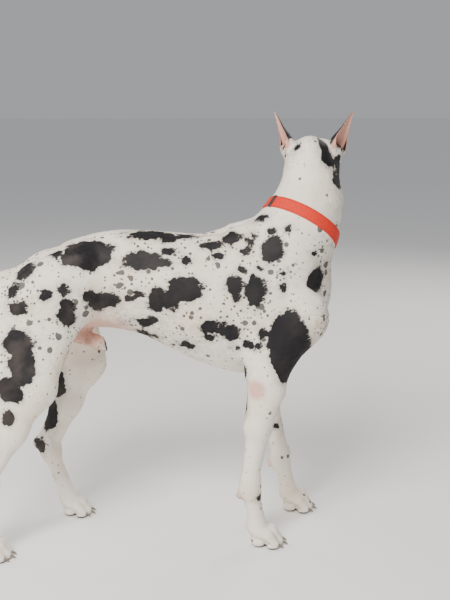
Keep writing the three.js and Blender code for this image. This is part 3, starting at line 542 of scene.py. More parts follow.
def split_where(made, chosen):
    """Splits the faces whose middles, in the dog's frame, are chosen, each into four."""
    mesh = made.data
    centres = np.empty(len(mesh.polygons) * 3)
    mesh.polygons.foreach_get("center", centres)
    hit = chosen(to_dog(centres.reshape(-1, 3)))
    work = bmesh.new()
    work.from_mesh(mesh)
    work.faces.ensure_lookup_table()
    edges = {e for i in np.flatnonzero(hit) for e in work.faces[i].edges}
    bmesh.ops.subdivide_edges(work, edges=list(edges), cuts=1, use_grid_fill=True)
    bmesh.ops.triangulate(work, faces=[f for f in work.faces if len(f.verts) > 4])
    work.to_mesh(mesh)
    work.free()


def is_head(v):
    h = to_head(v)
    return (np.linalg.norm(h * (0.8, 1, 1) - (70, 0, -10), axis=1) < 180) & (h[:, 2] > -110)


def is_fine(v):
    """Around the eyes, the nose and the mouth."""
    h = to_head(v)
    h[:, 1] = np.abs(h[:, 1])
    eye = np.linalg.norm(h - EYE, axis=1) < 30
    nose = (h[:, 0] > 205) & (np.abs(h[:, 2]) < 60) & (h[:, 1] < 60)
    mouth = (h[:, 0] > 76) & (h[:, 0] < 216) & (h[:, 2] < -30) & (h[:, 2] > -100) & (h[:, 1] < 60)
    return eye | nose | mouth


def is_paw(v):
    return v[:, 2] < 92


def ear_sheet(side, rings=46, steps=40):
    """The cropped ear as one closed curved sheet, in the head's frame."""
    foot, tip = np.array(EAR_FOOT, float), np.array(EAR_TIP, float)
    opened = np.array(EAR_OPEN)
    for p in (foot, tip, opened):
        p[1] *= side
    axis = tip - foot
    tall = np.linalg.norm(axis)
    axis /= tall
    opened -= (opened @ axis) * axis
    opened /= np.linalg.norm(opened)
    cross = np.cross(axis, opened)
    verts, faces = [], []
    u = np.linspace(0, 1, steps + 1)
    for i in range(rings + 1):
        t = max(i - 1, 0) / (rings - 1)
        early = min(t * 2.5, 1)
        span = math.radians(300 - 100 * early * early * (3 - 2 * early) - 50 * t)
        bell = 1 + 0.25 * math.sin(math.pi * min(t * 1.6, 1))
        wide = EAR_WIDE * (1 - t) ** 0.75 * bell + 2.2 - COAT_DEPTH * 0.6
        push = wide * 0.2 * min(t * 2, 1)
        thick = EAR_THICK + (EAR_TIP_THICK - EAR_THICK) * t - EAR_TRIM
        rise = t * (tall - 1) if i else -EAR_SINK
        for r, order in ((wide, u), (wide - thick, u[::-1])):
            angle = math.pi + (order - 0.5) * span
            ring = foot + axis * rise + np.outer(np.cos(angle) * r * EAR_FLAT + push, opened)
            verts.append(ring + np.outer(np.sin(angle) * r, cross))
    row = 2 * (steps + 1)
    for i in range(rings):
        for k in range(row):
            a, b = i * row + k, i * row + (k + 1) % row
            faces.append((a, b, b + row, a + row))
    top = rings * row
    for k in range(steps):
        a, b, c, d = k, k + 1, row - 1 - k, row - 2 - k
        faces += [(a, c, d, b), (top + a, top + b, top + d, top + c)]
    made = mesh_object("ear", on_head(np.concatenate(verts)), faces)
    work = bmesh.new()
    work.from_mesh(made.data)
    bmesh.ops.recalc_face_normals(work, faces=work.faces)
    work.to_mesh(made.data)
    work.free()
    return made


def make_skin():
    """One skin over all the flesh, a coat's depth inside it, finer on the head and feet."""
    skin = fused_nodes()
    set_vertices(skin.data, to_model(settled(to_dog(vertices(skin.data)), COAT_DEPTH)))
    split_where(skin, lambda v: is_head(v) | is_paw(v))
    split_where(skin, is_fine)
    set_vertices(skin.data, to_model(settled(to_dog(vertices(skin.data)), COAT_DEPTH)))
    for side in (-1, 1):
        ear = ear_sheet(side)
        joined = skin.modifiers.new("ear", "BOOLEAN")
        joined.operation = "UNION"
        joined.solver = "MANIFOLD"
        joined.object = ear
        applied(skin)
        bpy.data.objects.remove(ear)
    keep_largest(skin)
    set_vertices(skin.data, kept_in(vertices(skin.data)))
    shade_smooth(skin)
    return skin


def keep_largest(made):
    """Leaves out any crumb that isn't joined to the main surface."""
    work = bmesh.new()
    work.from_mesh(made.data)
    left, best = set(work.verts), []
    while left:
        todo, found = [next(iter(left))], set()
        while todo:
            v = todo.pop()
            if v in found:
                continue
            found.add(v)
            todo += [e.other_vert(v) for e in v.link_edges]
        left -= found
        best = max(best, found, key=len)
    spare = [v for v in work.verts if v not in best]
    bmesh.ops.delete(work, geom=spare, context="VERTS")
    work.to_mesh(made.data)
    work.free()


# Marks that the photo shows, in its pixels: middle across and down, then half width and half height
PATCHES = [
    (87, 253, 24, 15), (58, 254, 8, 6), (26, 268, 9, 10), (13, 291, 7, 6), (18, 308, 10, 6),
    (65, 290, 6, 6), (67, 311, 8, 12), (46, 296, 5, 4), (105, 300, 16, 9), (89, 295, 8, 6),
    (143, 261, 17, 9), (166, 263, 6, 5), (171, 251, 6, 4), (152, 234, 20, 6), (167, 239, 8, 6),
    (187, 236, 8, 4), (213, 246, 8, 5), (187, 260, 5, 5), (186, 289, 16, 12), (163, 300, 16, 11),
    (130, 298, 5, 4), (140, 293, 5, 4), (145, 321, 13, 3), (124, 331, 15, 3), (147, 334, 10, 4),
    (187, 344, 9, 4), (214, 327, 11, 6), (232, 333, 9, 7), (212, 338, 6, 4), (236, 348, 4, 3),
    (248, 344, 4, 3), (263, 332, 4, 4), (259, 347, 3, 3), (274, 249, 10, 14), (246, 252, 5, 5),
    (232, 238, 9, 6), (221, 255, 5, 4), (262, 218, 7, 4), (249, 241, 4, 3), (255, 237, 4, 3),
    (236, 284, 9, 9), (255, 291, 10, 17), (237, 296, 5, 5), (243, 270, 4, 3), (260, 268, 4, 3),
    (284, 273, 3, 3), (283, 288, 3, 5), (316, 280, 9, 11), (290, 347, 20, 32), (288, 229, 4, 3),
    (272, 231, 4, 3), (313, 254, 4, 3), (18, 344, 14, 13), (22, 366, 13, 18), (10, 390, 11, 14),
    (8, 417, 6, 8), (60, 384, 6, 14), (50, 414, 7, 18), (40, 446, 5, 8), (259, 498, 3, 2), (276, 426, 3, 2),
    (323, 143, 9, 8), (328, 157, 9, 8), (338, 163, 8, 8), (337, 180, 5, 9), (298, 147, 3, 4),
    (300, 139, 2, 5),
    (282, 178, 3, 2),
]
# Marks of the face and ears that the photo doesn't show, in the head's frame, with their radii
FACE_PATCHES = [
    ((60, 44, 8), (26, 20, 22)), ((150, 34, -20), (22, 20, 14)), ((196, -30, -30), (16, 16, 14)),
    ((110, -36, 10), (15, 15, 12)), ((20, -52, -40), (26, 20, 20)), ((120, 20, -70), (18, 24, 14)),
    ((40, 4, 58), (16, 12, 14)), ((66, 46, -62), (12, 14, 10)), ((170, 0, 28), (10, 10, 8)),
    ((-32, 88, 74), (46, 44, 60)), ((-32, -88, 74), (46, 44, 60)),
    ((-22, 60, 14), (18, 14, 22)), ((-20, -58, 6), (16, 14, 26)),
]
# Marks of the body's far side, laid at random: how many, how far apart, their sizes and shares
HIDDEN_PATCHES = 84
PATCH_GAP = 55.0
HIDDEN_SIZES, HIDDEN_SHARES = (9, 14, 22, 34, 46), (0.3, 0.26, 0.22, 0.14, 0.08)
LEG_TOP, LEG_SHRINK = 420, 0.6
FOOT_TOP = 110
UNMARKED = 60.0


def patch_distance(v, c, radii, axes):
    q = (v - c) @ np.asarray(axes).T / radii
    return (np.linalg.norm(q, axis=1) - 1) * min(radii)


def marks(v, normals, tree):
    """How far each place is outside the nearest dark patch; inside one it is below zero."""
    d = np.full(len(v), UNMARKED)
    ray_from = Vector(to_model(CAMERA_AT))
    for x, y, rx, ry in PATCHES:
        hit, _, _, _ = tree.ray_cast(ray_from, Vector(photo_ray(x, y)).normalized())
        if hit is None:
            continue
        c = to_dog(np.array(hit))
        scale = (c - CAMERA_AT) @ SEE / FOCAL_PX
        radii = np.array([rx, ry, max(rx, ry)]) * scale * PATCH_GROWTH
        d = np.minimum(d, patch_distance(v, c, radii, (SEE_RIGHT, SEE_UP, SEE)))
    h = to_head(v)
    for c, radii in FACE_PATCHES:
        d = np.minimum(d, patch_distance(h, np.array(c, float), np.array(radii, float), np.eye(3)))
    away = (normals @ SEE > 0.12) & ~is_head(v) & (v[:, 2] > FOOT_TOP)
    spots = v[away][rng.permutation(away.sum())]
    chosen = []
    for p in spots:
        if len(chosen) == HIDDEN_PATCHES:
            break
        if all(np.linalg.norm(p - q) > PATCH_GAP for q in chosen):
            chosen.append(p)
    for c in chosen:
        size = rng.choice(HIDDEN_SIZES, p=HIDDEN_SHARES)
        if c[2] < LEG_TOP:
            size *= LEG_SHRINK
        radii = size * rng.uniform(0.7, 1.35, 3)
        axes = np.linalg.qr(rng.normal(size=(3, 3)))[0]
        d = np.minimum(d, patch_distance(v, c, radii, axes))
    return d


def soft_step(x, low, high):
    t = np.clip((x - low) / (high - low), 0, 1)
    return t * t * (3 - 2 * t)


def sided(p, h):
    """A place of the head, once for each place in h and mirrored to its side."""
    return np.where(h[:, 1] > 0, 1, -1)[:, None] * np.array([0, p[1], 0]) + np.array([p[0], 0, p[2]])


def bareness(v, normals):
    """Where pink skin shows: inside the ears, the groin and belly, elbows, the backs of the wrists."""
    h = to_head(v)
    foot, tip, opened = (sided(p, h) for p in (EAR_FOOT, EAR_TIP, EAR_OPEN))
    axis = (tip - foot) / np.linalg.norm(tip - foot, axis=1)[:, None]
    turn = (normals @ HEAD_AXES.T * opened).sum(1)
    tall = ((h - foot) * axis).sum(1)
    off = np.linalg.norm(h - foot - axis * tall[:, None], axis=1)
    ear = soft_step(tall, -8, 2) * (off < 46) * soft_step(turn, 0.0, 0.35)
    ear *= soft_step(flesh(v), 1.5, 5)
    groin = soft_step(-v[:, 1], -20, -90) * soft_step(-normals[:, 2], 0.35, 0.85)
    groin *= soft_step(v[:, 2], 470, 500) * soft_step(-np.abs(v[:, 0]), -90, -55)
    bare = np.maximum(ear, groin * 0.75)
    belly = np.linalg.norm((v - at(0, -196, 556)) / (84, 92, 52), axis=1)
    bare = np.maximum(bare, 0.85 * soft_step(-belly, -1.05, -0.7))
    for side, elbow, wrist, _ in FORELEGS:
        c = shifted(elbow, side, 34, -30, -14)
        bare = np.maximum(bare, 0.75 * soft_step(-np.linalg.norm(v - c, axis=1), -34, -16))
        c = shifted(wrist, side, 2, -32, -20)
        bare = np.maximum(bare, 0.5 * soft_step(-np.linalg.norm(v - c, axis=1), -20, -10))
    return bare


def leather(v):
    """Where the skin is black leather: the nose, the lips' edges, the lid rims and the pads."""
    h = to_head(v)
    nose = soft_step(h[:, 0] + 0.25 * h[:, 2], 224, 229) * soft_step(h[:, 2], -22, -17) * (h[:, 2] < 30)
    line = np.abs(flesh_lips(h))
    lips = soft_step(-line, -3.6, -1.8) * soft_step(h[:, 0], 92, 106) * soft_step(-h[:, 0], -216, -200)
    eye = h - sided(EYE, h)
    look = (eye * sided(EYE_OUT, h)).sum(1) / np.linalg.norm(EYE_OUT)
    rim = soft_step(-np.linalg.norm(eye, axis=1), -18.2, -16.4) * soft_step(look, 7, 10)
    pads = soft_step(-v[:, 2], -7, -4)
    return np.clip(np.maximum.reduce([nose, lips, rim, pads]), 0, 1)


def ticking(v):
    """Where the white is ticked with grey: the trunk and thighs, hardly the legs, neck and head."""
    body = soft_step(v[:, 2], 420, 600) * soft_step(-v[:, 2], -880, -800)
    return 0.12 + 0.88 * body


def worn(v):
    """Where the black is browner and greyer: more on the rump and thighs than on the shoulder."""
    return 0.25 + 0.75 * soft_step(v[:, 1], -120, 260)


def flesh_lips(h):
    """How far a place of the head is above or below the line where the lips meet."""
    drop = np.interp(h[:, 0], [80, 100, 150, 190, 222], [-64, -69, -76, -72, -54])
    return h[:, 2] - drop


def set_float(mesh, name, values):
    attribute = mesh.attributes.new(name, "FLOAT", "POINT")
    attribute.data.foreach_set("value", np.asarray(values, np.float32))


def unwrap(made):
    """Lays the skin out flat, for the coat's colours."""
    made.data.uv_layers.new(name="OFBake")
    bpy.context.view_layer.objects.active = made
    for other in bpy.context.selected_objects:
        other.select_set(False)
    made.select_set(True)
    bpy.ops.object.mode_set(mode="EDIT")
    bpy.ops.mesh.select_all(action="SELECT")
    bpy.ops.uv.smart_project(angle_limit=math.radians(72), island_margin=0.002)
    bpy.ops.object.mode_set(mode="OBJECT")
    made.select_set(False)


# The lie of the coat, in the dog's frame
def lie(v, normals):
    h = to_head(v)
    back = at(0, -1, -0.28)
    down = at(0, -0.12, -1)
    low = soft_step(-v[:, 2], -560, -430)[:, None]
    flow = back * (1 - low) + down * low
    neck = soft_step(v[:, 2], 780, 860)[:, None]
    flow = flow * (1 - neck) + at(-0.15, -0.55, -0.85) * neck
    rump = soft_step(v[:, 1], 330, 410)[:, None]
    flow = flow * (1 - rump) + down * rump
    face = soft_step(h[:, 0], -60, 30)[:, None] * soft_step(h[:, 2], -130, -90)[:, None]
    face = face * (np.linalg.norm(h, axis=1) < HEAD_REACH)[:, None]
    flow = flow * (1 - face) + (-HEAD_AXES[0] - 0.25 * HEAD_AXES[2]) * face
    flow = flow - (flow * normals).sum(1)[:, None] * normals
    return flow / np.maximum(np.linalg.norm(flow, axis=1), 1e-6)[:, None]


TUFTS = 45000
COAT_PIECES = 2
BODY_TUFT, LEG_TUFT, FACE_TUFT, EAR_TUFT = 9, 6, 4.0, 3.0
UV_PATCH = 0.003


def tufts(skin, name, count):
    """Short flat tufts over the skin: closed blades with three sides that lie along the coat."""
    mesh = skin.data
    mesh.calc_loop_triangles()
    tri = np.empty(len(mesh.loop_triangles) * 3, np.int64)
    mesh.loop_triangles.foreach_get("vertices", tri)
    loops = np.empty(len(mesh.loop_triangles) * 3, np.int64)
    mesh.loop_triangles.foreach_get("loops", loops)
    tri, loops = tri.reshape(-1, 3), loops.reshape(-1, 3)
    co = to_dog(vertices(mesh))
    vn = np.empty(len(mesh.vertices) * 3)
    mesh.vertex_normals.foreach_get("vector", vn)
    vn = vn.reshape(-1, 3)
    uv = np.empty(len(mesh.loops) * 2)
    mesh.uv_layers["OFBake"].data.foreach_get("uv", uv)
    uv = uv.reshape(-1, 2)
    a, b, c = (co[tri[:, k]] for k in range(3))
    area = np.linalg.norm(np.cross(b - a, c - a), axis=1)
    area = area * (1 - 0.94 * tuft_free((a + b + c) / 3))
    pick = rng.choice(len(tri), count, p=area / area.sum())
    w = rng.dirichlet((1, 1, 1), count)[:, :, None]
    root = (co[tri[pick]] * w).sum(1)
    up = (vn[tri[pick]] * w).sum(1)
    up /= np.linalg.norm(up, axis=1)[:, None]
    root_uv = (uv[loops[pick]] * w).sum(1)
    flow = lie(root, up)
    across = np.cross(up, flow)
    flow = flow + across * rng.normal(0, 0.2, count)[:, None]
    across = np.cross(up, flow)
    across /= np.linalg.norm(across, axis=1)[:, None]
    size = tuft_length(root)[:, None] * rng.uniform(0.7, 1.25, count)[:, None]
    wide = size * 0.07 + 0.25
    rise = size * rng.uniform(0.05, 0.14, count)[:, None]
    corners = np.stack([
        root + across * wide - up * 0.5,
        root - across * wide - up * 0.5,
        root + up * 0.5 + flow * size * 0.15,
        root + flow * size + up * np.minimum(rise, COAT_DEPTH * 0.6),
    ], axis=1).reshape(-1, 3)
    base = np.arange(count)[:, None] * 4
    faces = np.array([[0, 1, 2], [0, 2, 3], [2, 1, 3], [1, 0, 3]])
    faces = (base[:, :, None] + faces[None]).reshape(-1, 3)
    coat = bpy.data.meshes.new(name)
    coat.vertices.add(len(corners))
    coat.loops.add(len(faces) * 3)
    coat.polygons.add(len(faces))
    coat.vertices.foreach_set("co", kept_in(to_model(corners)).astype(np.float32).ravel())
    coat.loops.foreach_set("vertex_index", faces.ravel().astype(np.int32))
    coat.polygons.foreach_set("loop_start", np.arange(0, len(faces) * 3, 3, dtype=np.int32))
    coat.update(calc_edges=True)
    layer = coat.uv_layers.new(name="OFBake")
    spread = np.array([[-0.5, -0.5], [0.5, -0.5], [0, 0], [0, 0.5]]) * UV_PATCH
    corner_uv = (root_uv[:, None, :] + spread[None]).reshape(-1, 2)
    layer.data.foreach_set("uv", corner_uv[faces.ravel()].astype(np.float32).ravel())
    for which in MARKINGS:
        values = np.empty(len(mesh.vertices), np.float32)
        mesh.attributes[which].data.foreach_get("value", values)
        at_root = (values[tri[pick]] * w[:, :, 0]).sum(1)
        set_float(coat, which, np.repeat(at_root, 4))
    made = new_object(name, coat)
    shade_smooth(made)
    coat.normals_split_custom_set_from_vertices(np.repeat(up, 4, axis=0).tolist())
    return made


def tuft_free(v):
    """The share of tufts left out: the nose, the eyes, the mouth, under the collar and the soles."""
    h = to_head(v)
    side = h.copy()
    side[:, 1] = np.abs(side[:, 1])
    bare = (h[:, 0] > 222) & (np.linalg.norm(h, axis=1) < HEAD_REACH)
    bare |= np.linalg.norm(side - EYE, axis=1) < 19
    bare |= v[:, 2] < 10
    axial = (v - COLLAR_AT) @ COLLAR_AXIS
    bare |= (np.abs(axial) < COLLAR_WIDTH / 2 + 1) & (np.linalg.norm(v - COLLAR_AT, axis=1) < 140)
    return bare.astype(float)


def tuft_length(v):
    """Longest on the nape, rump and thighs, short on the legs, shortest on the face and feet."""
    h = to_head(v)
    size = LEG_TUFT + (BODY_TUFT - LEG_TUFT) * soft_step(v[:, 2], 430, 640)
    size = np.where(v[:, 2] < FOOT_TOP, FACE_TUFT, size)
    face = soft_step(h[:, 0], -80, 20) * (np.linalg.norm(h, axis=1) < 300) * (v[:, 2] > 840)
    ear = (h[:, 2] > 56) & (np.linalg.norm(h, axis=1) < 200)
    return np.where(ear, EAR_TUFT, size * (1 - face) + FACE_TUFT * face)


# Materials
def material(name, base=(0.8, 0.8, 0.8), roughness=0.5, metallic=0.0, **more):
    made = bpy.data.materials.new(name)
    made.use_nodes = True
    shader = made.node_tree.nodes["Principled BSDF"]
    shader.inputs["Base Color"].default_value = (*base, 1)
    shader.inputs["Roughness"].default_value = roughness
    shader.inputs["Metallic"].default_value = metallic
    for key, value in more.items():
        shader.inputs[key.replace("_", " ")].default_value = value
    return made


class Nodes:
    """Short ways to add nodes to a material."""

    def __init__(self, made):
        self.tree = made.node_tree
        self.shader = self.tree.nodes["Principled BSDF"]

    def add(self, kind, **values):
        node = self.tree.nodes.new(kind)
        for key, value in values.items():
            setattr(node, key, value)
        return node

    def link(self, out, to):
        self.tree.links.new(out, to)

    def put(self, socket, value):
        if isinstance(value, bpy.types.NodeSocket):
            self.link(value, socket)
        else:
            socket.default_value = value

    def math(self, operation, a, b=0.0, clamp=False):
        node = self.add("ShaderNodeMath", operation=operation, use_clamp=clamp)
        self.put(node.inputs[0], a)
        self.put(node.inputs[1], b)
        return node.outputs[0]

    def ramp(self, value, low, high):
        node = self.add("ShaderNodeMapRange", interpolation_type="SMOOTHSTEP")
        self.put(node.inputs["Value"], value)
        self.put(node.inputs["From Min"], low)
        self.put(node.inputs["From Max"], high)
        return node.outputs["Result"]

    def noise(self, scale, detail=3.0, rough=0.5):
        node = self.add("ShaderNodeTexNoise")
        node.inputs["Scale"].default_value = scale
        node.inputs["Detail"].default_value = detail
        node.inputs["Roughness"].default_value = rough
        self.link(self.place(), node.inputs["Vector"])
        return node.outputs["Fac"]

    def dots(self, scale, rare, crowd, more):
        """Round spots of many sizes, one to a cell at most, with more of them where it is crowded."""
        cells = self.add("ShaderNodeTexVoronoi")
        cells.inputs["Scale"].default_value = scale
        self.link(self.place(), cells.inputs["Vector"])
        least = self.math("SUBTRACT", rare, self.math("MULTIPLY", crowd, more))
        reach = self.math("MULTIPLY", self.math("SUBTRACT", cells.outputs["Color"], least), 1.1)
        away = self.math("ADD", cells.outputs["Distance"], self.math("MULTIPLY", self.noise(300, 2), 0.16))
        return self.ramp(self.math("SUBTRACT", away, reach), 0.10, 0.05)

    def place(self):
        return self.add("ShaderNodeTexCoord").outputs["Object"]

    def attribute(self, name):
        return self.add("ShaderNodeAttribute", attribute_name=name).outputs["Fac"]

    def mix(self, share, a, b):
        node = self.add("ShaderNodeMix", data_type="RGBA")
        self.put(node.inputs[0], share)
        for socket, value in ((node.inputs[6], a), (node.inputs[7], b)):
            self.put(socket, (*value, 1) if isinstance(value, tuple) else value)
        return node.outputs[2]

    def bump(self, height, strength, distance):
        node = self.add("ShaderNodeBump")
        node.inputs["Strength"].default_value = strength
        node.inputs["Distance"].default_value = distance
        self.link(height, node.inputs["Height"])
        self.link(node.outputs["Normal"], self.shader.inputs["Normal"])


WHITE, CREAM = (0.90, 0.845, 0.76), (0.84, 0.735, 0.60)
BLACK, BROWN_BLACK, GREY = (0.013, 0.012, 0.014), (0.045, 0.036, 0.034), (0.17, 0.165, 0.175)
PINK, LEATHER, TICK = (0.68, 0.36, 0.29), (0.022, 0.019, 0.020), (0.050, 0.045, 0.046)
PATCH_GROWTH = 1.12


def coat_material():
    """White with torn black patches, a grey edge to each and fine ticking, pink where it is bare."""
    made = material("coat", WHITE, roughness=0.55, Specular_IOR_Level=0.22)
    n = Nodes(made)
    torn = n.math("MULTIPLY", n.math("SUBTRACT", n.noise(30, 3, 0.55), 0.5), 38.0)
    torn = n.math("ADD", torn, n.math("MULTIPLY", n.math("SUBTRACT", n.noise(130, 3, 0.6), 0.5), 8.0))
    edge = n.math("ADD", n.attribute("mark"), torn)
    dark = n.ramp(edge, 1.2, -1.2)
    halo = n.ramp(edge, 16.0, 0.0)
    crowd = n.math("MULTIPLY", n.ramp(n.noise(12, 2), 0.30, 0.62), n.attribute("ticking"))
    ticks = n.math("MAXIMUM", n.dots(46, 0.69, crowd, 0.27), n.dots(120, 0.68, crowd, 0.28))
    white = n.mix(n.ramp(n.noise(9, 3), 0.35, 0.75), WHITE, CREAM)
    white = n.mix(n.math("MULTIPLY", halo, 0.30), white, GREY)
    white = n.mix(n.math("MULTIPLY", ticks, 0.88), white, TICK)
    # The black goes brown and grey towards the rear, set by its place alone
    worn = n.math("MULTIPLY", n.ramp(n.noise(20, 3), 0.38, 0.68), n.attribute("worn"))
    black = n.mix(worn, BLACK, BROWN_BLACK)
    colour = n.mix(dark, white, black)
    colour = n.mix(n.attribute("bare"), colour, PINK)
    colour = n.mix(n.attribute("leather"), colour, LEATHER)
    n.link(colour, n.shader.inputs["Base Color"])
    fine = n.math("ADD", n.noise(900, 2), n.math("MULTIPLY", n.noise(320, 2), 0.7))
    n.bump(fine, 0.35, 0.0012)
    return made


PUPIL_LEAN, IRIS_LEAN = 0.27, 0.84


def eye_materials():
    """The eye's rim, the brown iris and the pupil, in the order of the eye's material slots."""
    return [
        material("eye_white", (0.26, 0.19, 0.155), 0.12, Coat_Weight=1.0),
        material("iris", (0.085, 0.034, 0.011), 0.15, Coat_Weight=1.0),
        material("pupil", (0.004, 0.004, 0.004), 0.05, Coat_Weight=1.0),
    ]


def eye(side, name, looks):
    """A glossy ball that looks outwards, its iris and pupil set by the angle off its axis."""
    bm = bmesh.new()
    bmesh.ops.create_uvsphere(bm, u_segments=64, v_segments=48, radius=(EYE_R - 0.2) * MM)
    mesh = bpy.data.meshes.new(name)
    bm.to_mesh(mesh)
    bm.free()
    made = new_object(name, mesh)
    for m in looks:
        mesh.materials.append(m)
    for face in mesh.polygons:
        lean = math.acos(max(-1, min(1, face.center.normalized().z)))
        face.material_index = 2 if lean < PUPIL_LEAN else 1 if lean < IRIS_LEAN else 0
    shade_smooth(made)
    out = (eye_front(side, 1) - eye_front(side, 0)) @ HEAD_AXES
    turn = Vector(out).to_track_quat("Z", "Y").to_matrix().to_4x4()
    centre = to_model(on_head((EYE[0], side * EYE[1], EYE[2])))
    mesh.transform(Matrix.Translation(Vector(centre)) @ turn)
    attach(made, "root")
    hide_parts(name)
    return made


# The collar
COLLAR_AT = at(20, 397, 836)
COLLAR_AXIS = at(0.3, 0.5, 0.812) / np.linalg.norm(at(0.3, 0.5, 0.812))
COLLAR_WIDTH, COLLAR_THICK, COLLAR_SINK = 34, 4, 1.6
COLLAR_RED, COLLAR_DEEP, STITCH_RED = (0.72, 0.040, 0.018), (0.55, 0.026, 0.012), (0.36, 0.02, 0.012)
STITCH_LINE, STITCHES, RIBS = 13.4, 90, 420
KEEPER_PX, KEEPER_HALF, COLLAR_OVERLAP = (273, 206), 0.05, -0.95
RING_SIZE, RING_WIRE = 12.0, 1.6
collar_across = np.cross((1, 0, 0), COLLAR_AXIS)
collar_across /= np.linalg.norm(collar_across)
collar_along = np.cross(COLLAR_AXIS, collar_across)


def neck_radius(angle, axial):
    """How far from the collar's middle line the neck's surface is."""
    out = np.outer(np.cos(angle), collar_across) + np.outer(np.sin(angle), collar_along)
    start = COLLAR_AT + np.outer(axial, COLLAR_AXIS)
    low, high = np.full(len(angle), 20.0), np.full(len(angle), 200.0)
    for _ in range(24):
        middle = (low + high) / 2
        inside = flesh(start + out * middle[:, None]) < 0
        low, high = np.where(inside, middle, low), np.where(inside, high, middle)
    return start, out, low


def band(name, profile, angles, closed=True):
    """A strap along the neck: its profile is a list of axial place and height off the neck."""
    axial, off = np.array(profile, float).T
    n = len(profile)
    a = np.repeat(angles, n)
    start, out, radius = neck_radius(a, np.tile(axial, len(angles)))
    verts = start + out * (radius + np.tile(off, len(angles)))[:, None]
    faces = []
    rows = len(angles)
    for i in range(rows if closed else rows - 1):
        for k in range(n):
            j = (i + 1) % rows
            faces.append((i * n + k, i * n + (k + 1) % n, j * n + (k + 1) % n, j * n + k))
    if not closed:
        faces += [tuple(range(n))[::-1], tuple((rows - 1) * n + k for k in range(n))]
    return mesh_object(name, verts, faces)


def strap_profile(half, low, high, round_off=1.0):
    side = [(-half, low), (-half, high - round_off), (-half + round_off * 0.7, high - 0.2)]
    top = [(x, high) for x in np.linspace(-half + 2 * round_off, half - 2 * round_off, 7)]
    return side + top + [(-x, y) for x, y in side[::-1]]


def webbing():
    """Woven red cloth with a dashed line of stitches along each edge."""
    made = material("webbing", COLLAR_RED, roughness=0.6, Specular_IOR_Level=0.25)
    n = Nodes(made)
    colour = n.mix(n.ramp(n.noise(420, 2), 0.35, 0.7), COLLAR_RED, COLLAR_DEEP)
    off = n.math("ABSOLUTE", n.math("SUBTRACT", n.math("ABSOLUTE", n.attribute("axial")), STITCH_LINE))
    dash = n.ramp(n.math("SINE", n.math("MULTIPLY", n.attribute("turn"), STITCHES)), -0.5, 0.0)
    stitch = n.math("MULTIPLY", n.ramp(off, 0.9, 0.4), dash)
    colour = n.mix(stitch, colour, STITCH_RED)
    n.link(colour, n.shader.inputs["Base Color"])
    ribs = n.math("SINE", n.math("MULTIPLY", n.attribute("turn"), RIBS))
    n.bump(n.math("ADD", n.math("MULTIPLY", ribs, 0.5), n.math("ADD", n.noise(1400, 1), stitch)), 0.4, 0.0006)
    return made


def strip(name, profile, angles, look, closed=False):
    made = band(name, profile, angles, closed)
    set_float(made.data, "axial", np.tile([x for x, _ in profile], len(angles)))
    set_float(made.data, "turn", np.repeat(angles, len(profile)))
    made.data.materials.append(look)
    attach(made, "root")
    return made


def ring(angle, look):
    """A steel ring with one straight side, hanging from the strap's lower edge by the keeper."""
    start, out, radius = neck_radius(np.array([angle]), np.zeros(1))
    across = np.cross(COLLAR_AXIS, out[0])
    middle = start[0] + out[0] * (radius[0] + COLLAR_THICK + RING_WIRE * 0.6)
    bow = np.linspace(-math.pi / 2, math.pi / 2, 25)
    path = [(-RING_SIZE * math.cos(a), RING_SIZE * math.sin(a)) for a in bow]
    path += [(0.0, RING_SIZE * (1 - 2 * t)) for t in np.linspace(0.05, 0.95, 9)]
    path = np.array(path) - (COLLAR_WIDTH / 2 - 5, 0)
    verts, faces = [], []
    wire = np.linspace(0, 2 * math.pi, 12, endpoint=False)
    for i, (axial, turn) in enumerate(path):
        step = path[(i + 1) % len(path)] - path[i - 1]
        step = step / np.linalg.norm(step)
        side = COLLAR_AXIS * step[1] - across * step[0]
        place = middle + COLLAR_AXIS * axial + across * turn
        verts += [place + RING_WIRE * (side * math.cos(w) + out[0] * math.sin(w)) for w in wire]
    for i in range(len(path)):
        for k in range(len(wire)):
            j, m = (i + 1) % len(path), (k + 1) % len(wire)
            faces.append(tuple(a * len(wire) + b for a, b in ((i, k), (j, k), (j, m), (i, m))))
    made = mesh_object("collar_ring", verts, faces)
    made.data.materials.append(look)
    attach(made, "root")


def collar():
    """The strap, its free end laid over it, the dark keepers that hold the end, and the ring."""
    turn = np.linspace(0, 2 * math.pi, 160, endpoint=False)
    half = COLLAR_WIDTH / 2 - 0.3
    high = COLLAR_THICK - COLLAR_SINK - 0.4
    red = webbing()
    black = material("keeper", (0.02, 0.018, 0.018), roughness=0.4)
    steel = material("steel", (0.62, 0.61, 0.60), roughness=0.22, metallic=1.0)
    strap = strip("collar_band", strap_profile(half, -COLLAR_SINK, high), turn, red, closed=True)
    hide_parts("collar")
    first = keeper_angle()
    over = np.linspace(first, first + COLLAR_OVERLAP, 40)
    strip("collar_end", strap_profile(half - 0.6, high - 0.4, high + 1.5), over, red)
    for angle in (first, first + COLLAR_OVERLAP * 0.84):
        loop = np.linspace(angle - KEEPER_HALF, angle + KEEPER_HALF, 7)
        strip("collar_keeper", strap_profile(half + 0.9, -0.6, high + 2.4), loop, black)
    ring(first + COLLAR_OVERLAP * 0.6, steel)


def keeper_angle():
    """The angle around the collar at which the photo shows its keeper."""
    ray = photo_ray(*KEEPER_PX)
    ray /= np.linalg.norm(ray)
    angles = np.linspace(0, 2 * math.pi, 720)
    start, out, radius = neck_radius(angles, np.zeros(len(angles)))
    places = start + out * radius[:, None] - CAMERA_AT
    off = np.linalg.norm(places - (places @ ray)[:, None] * ray, axis=1)
    facing = (out @ ray) < 0
    return float(angles[np.argmin(np.where(facing, off, FAR))])


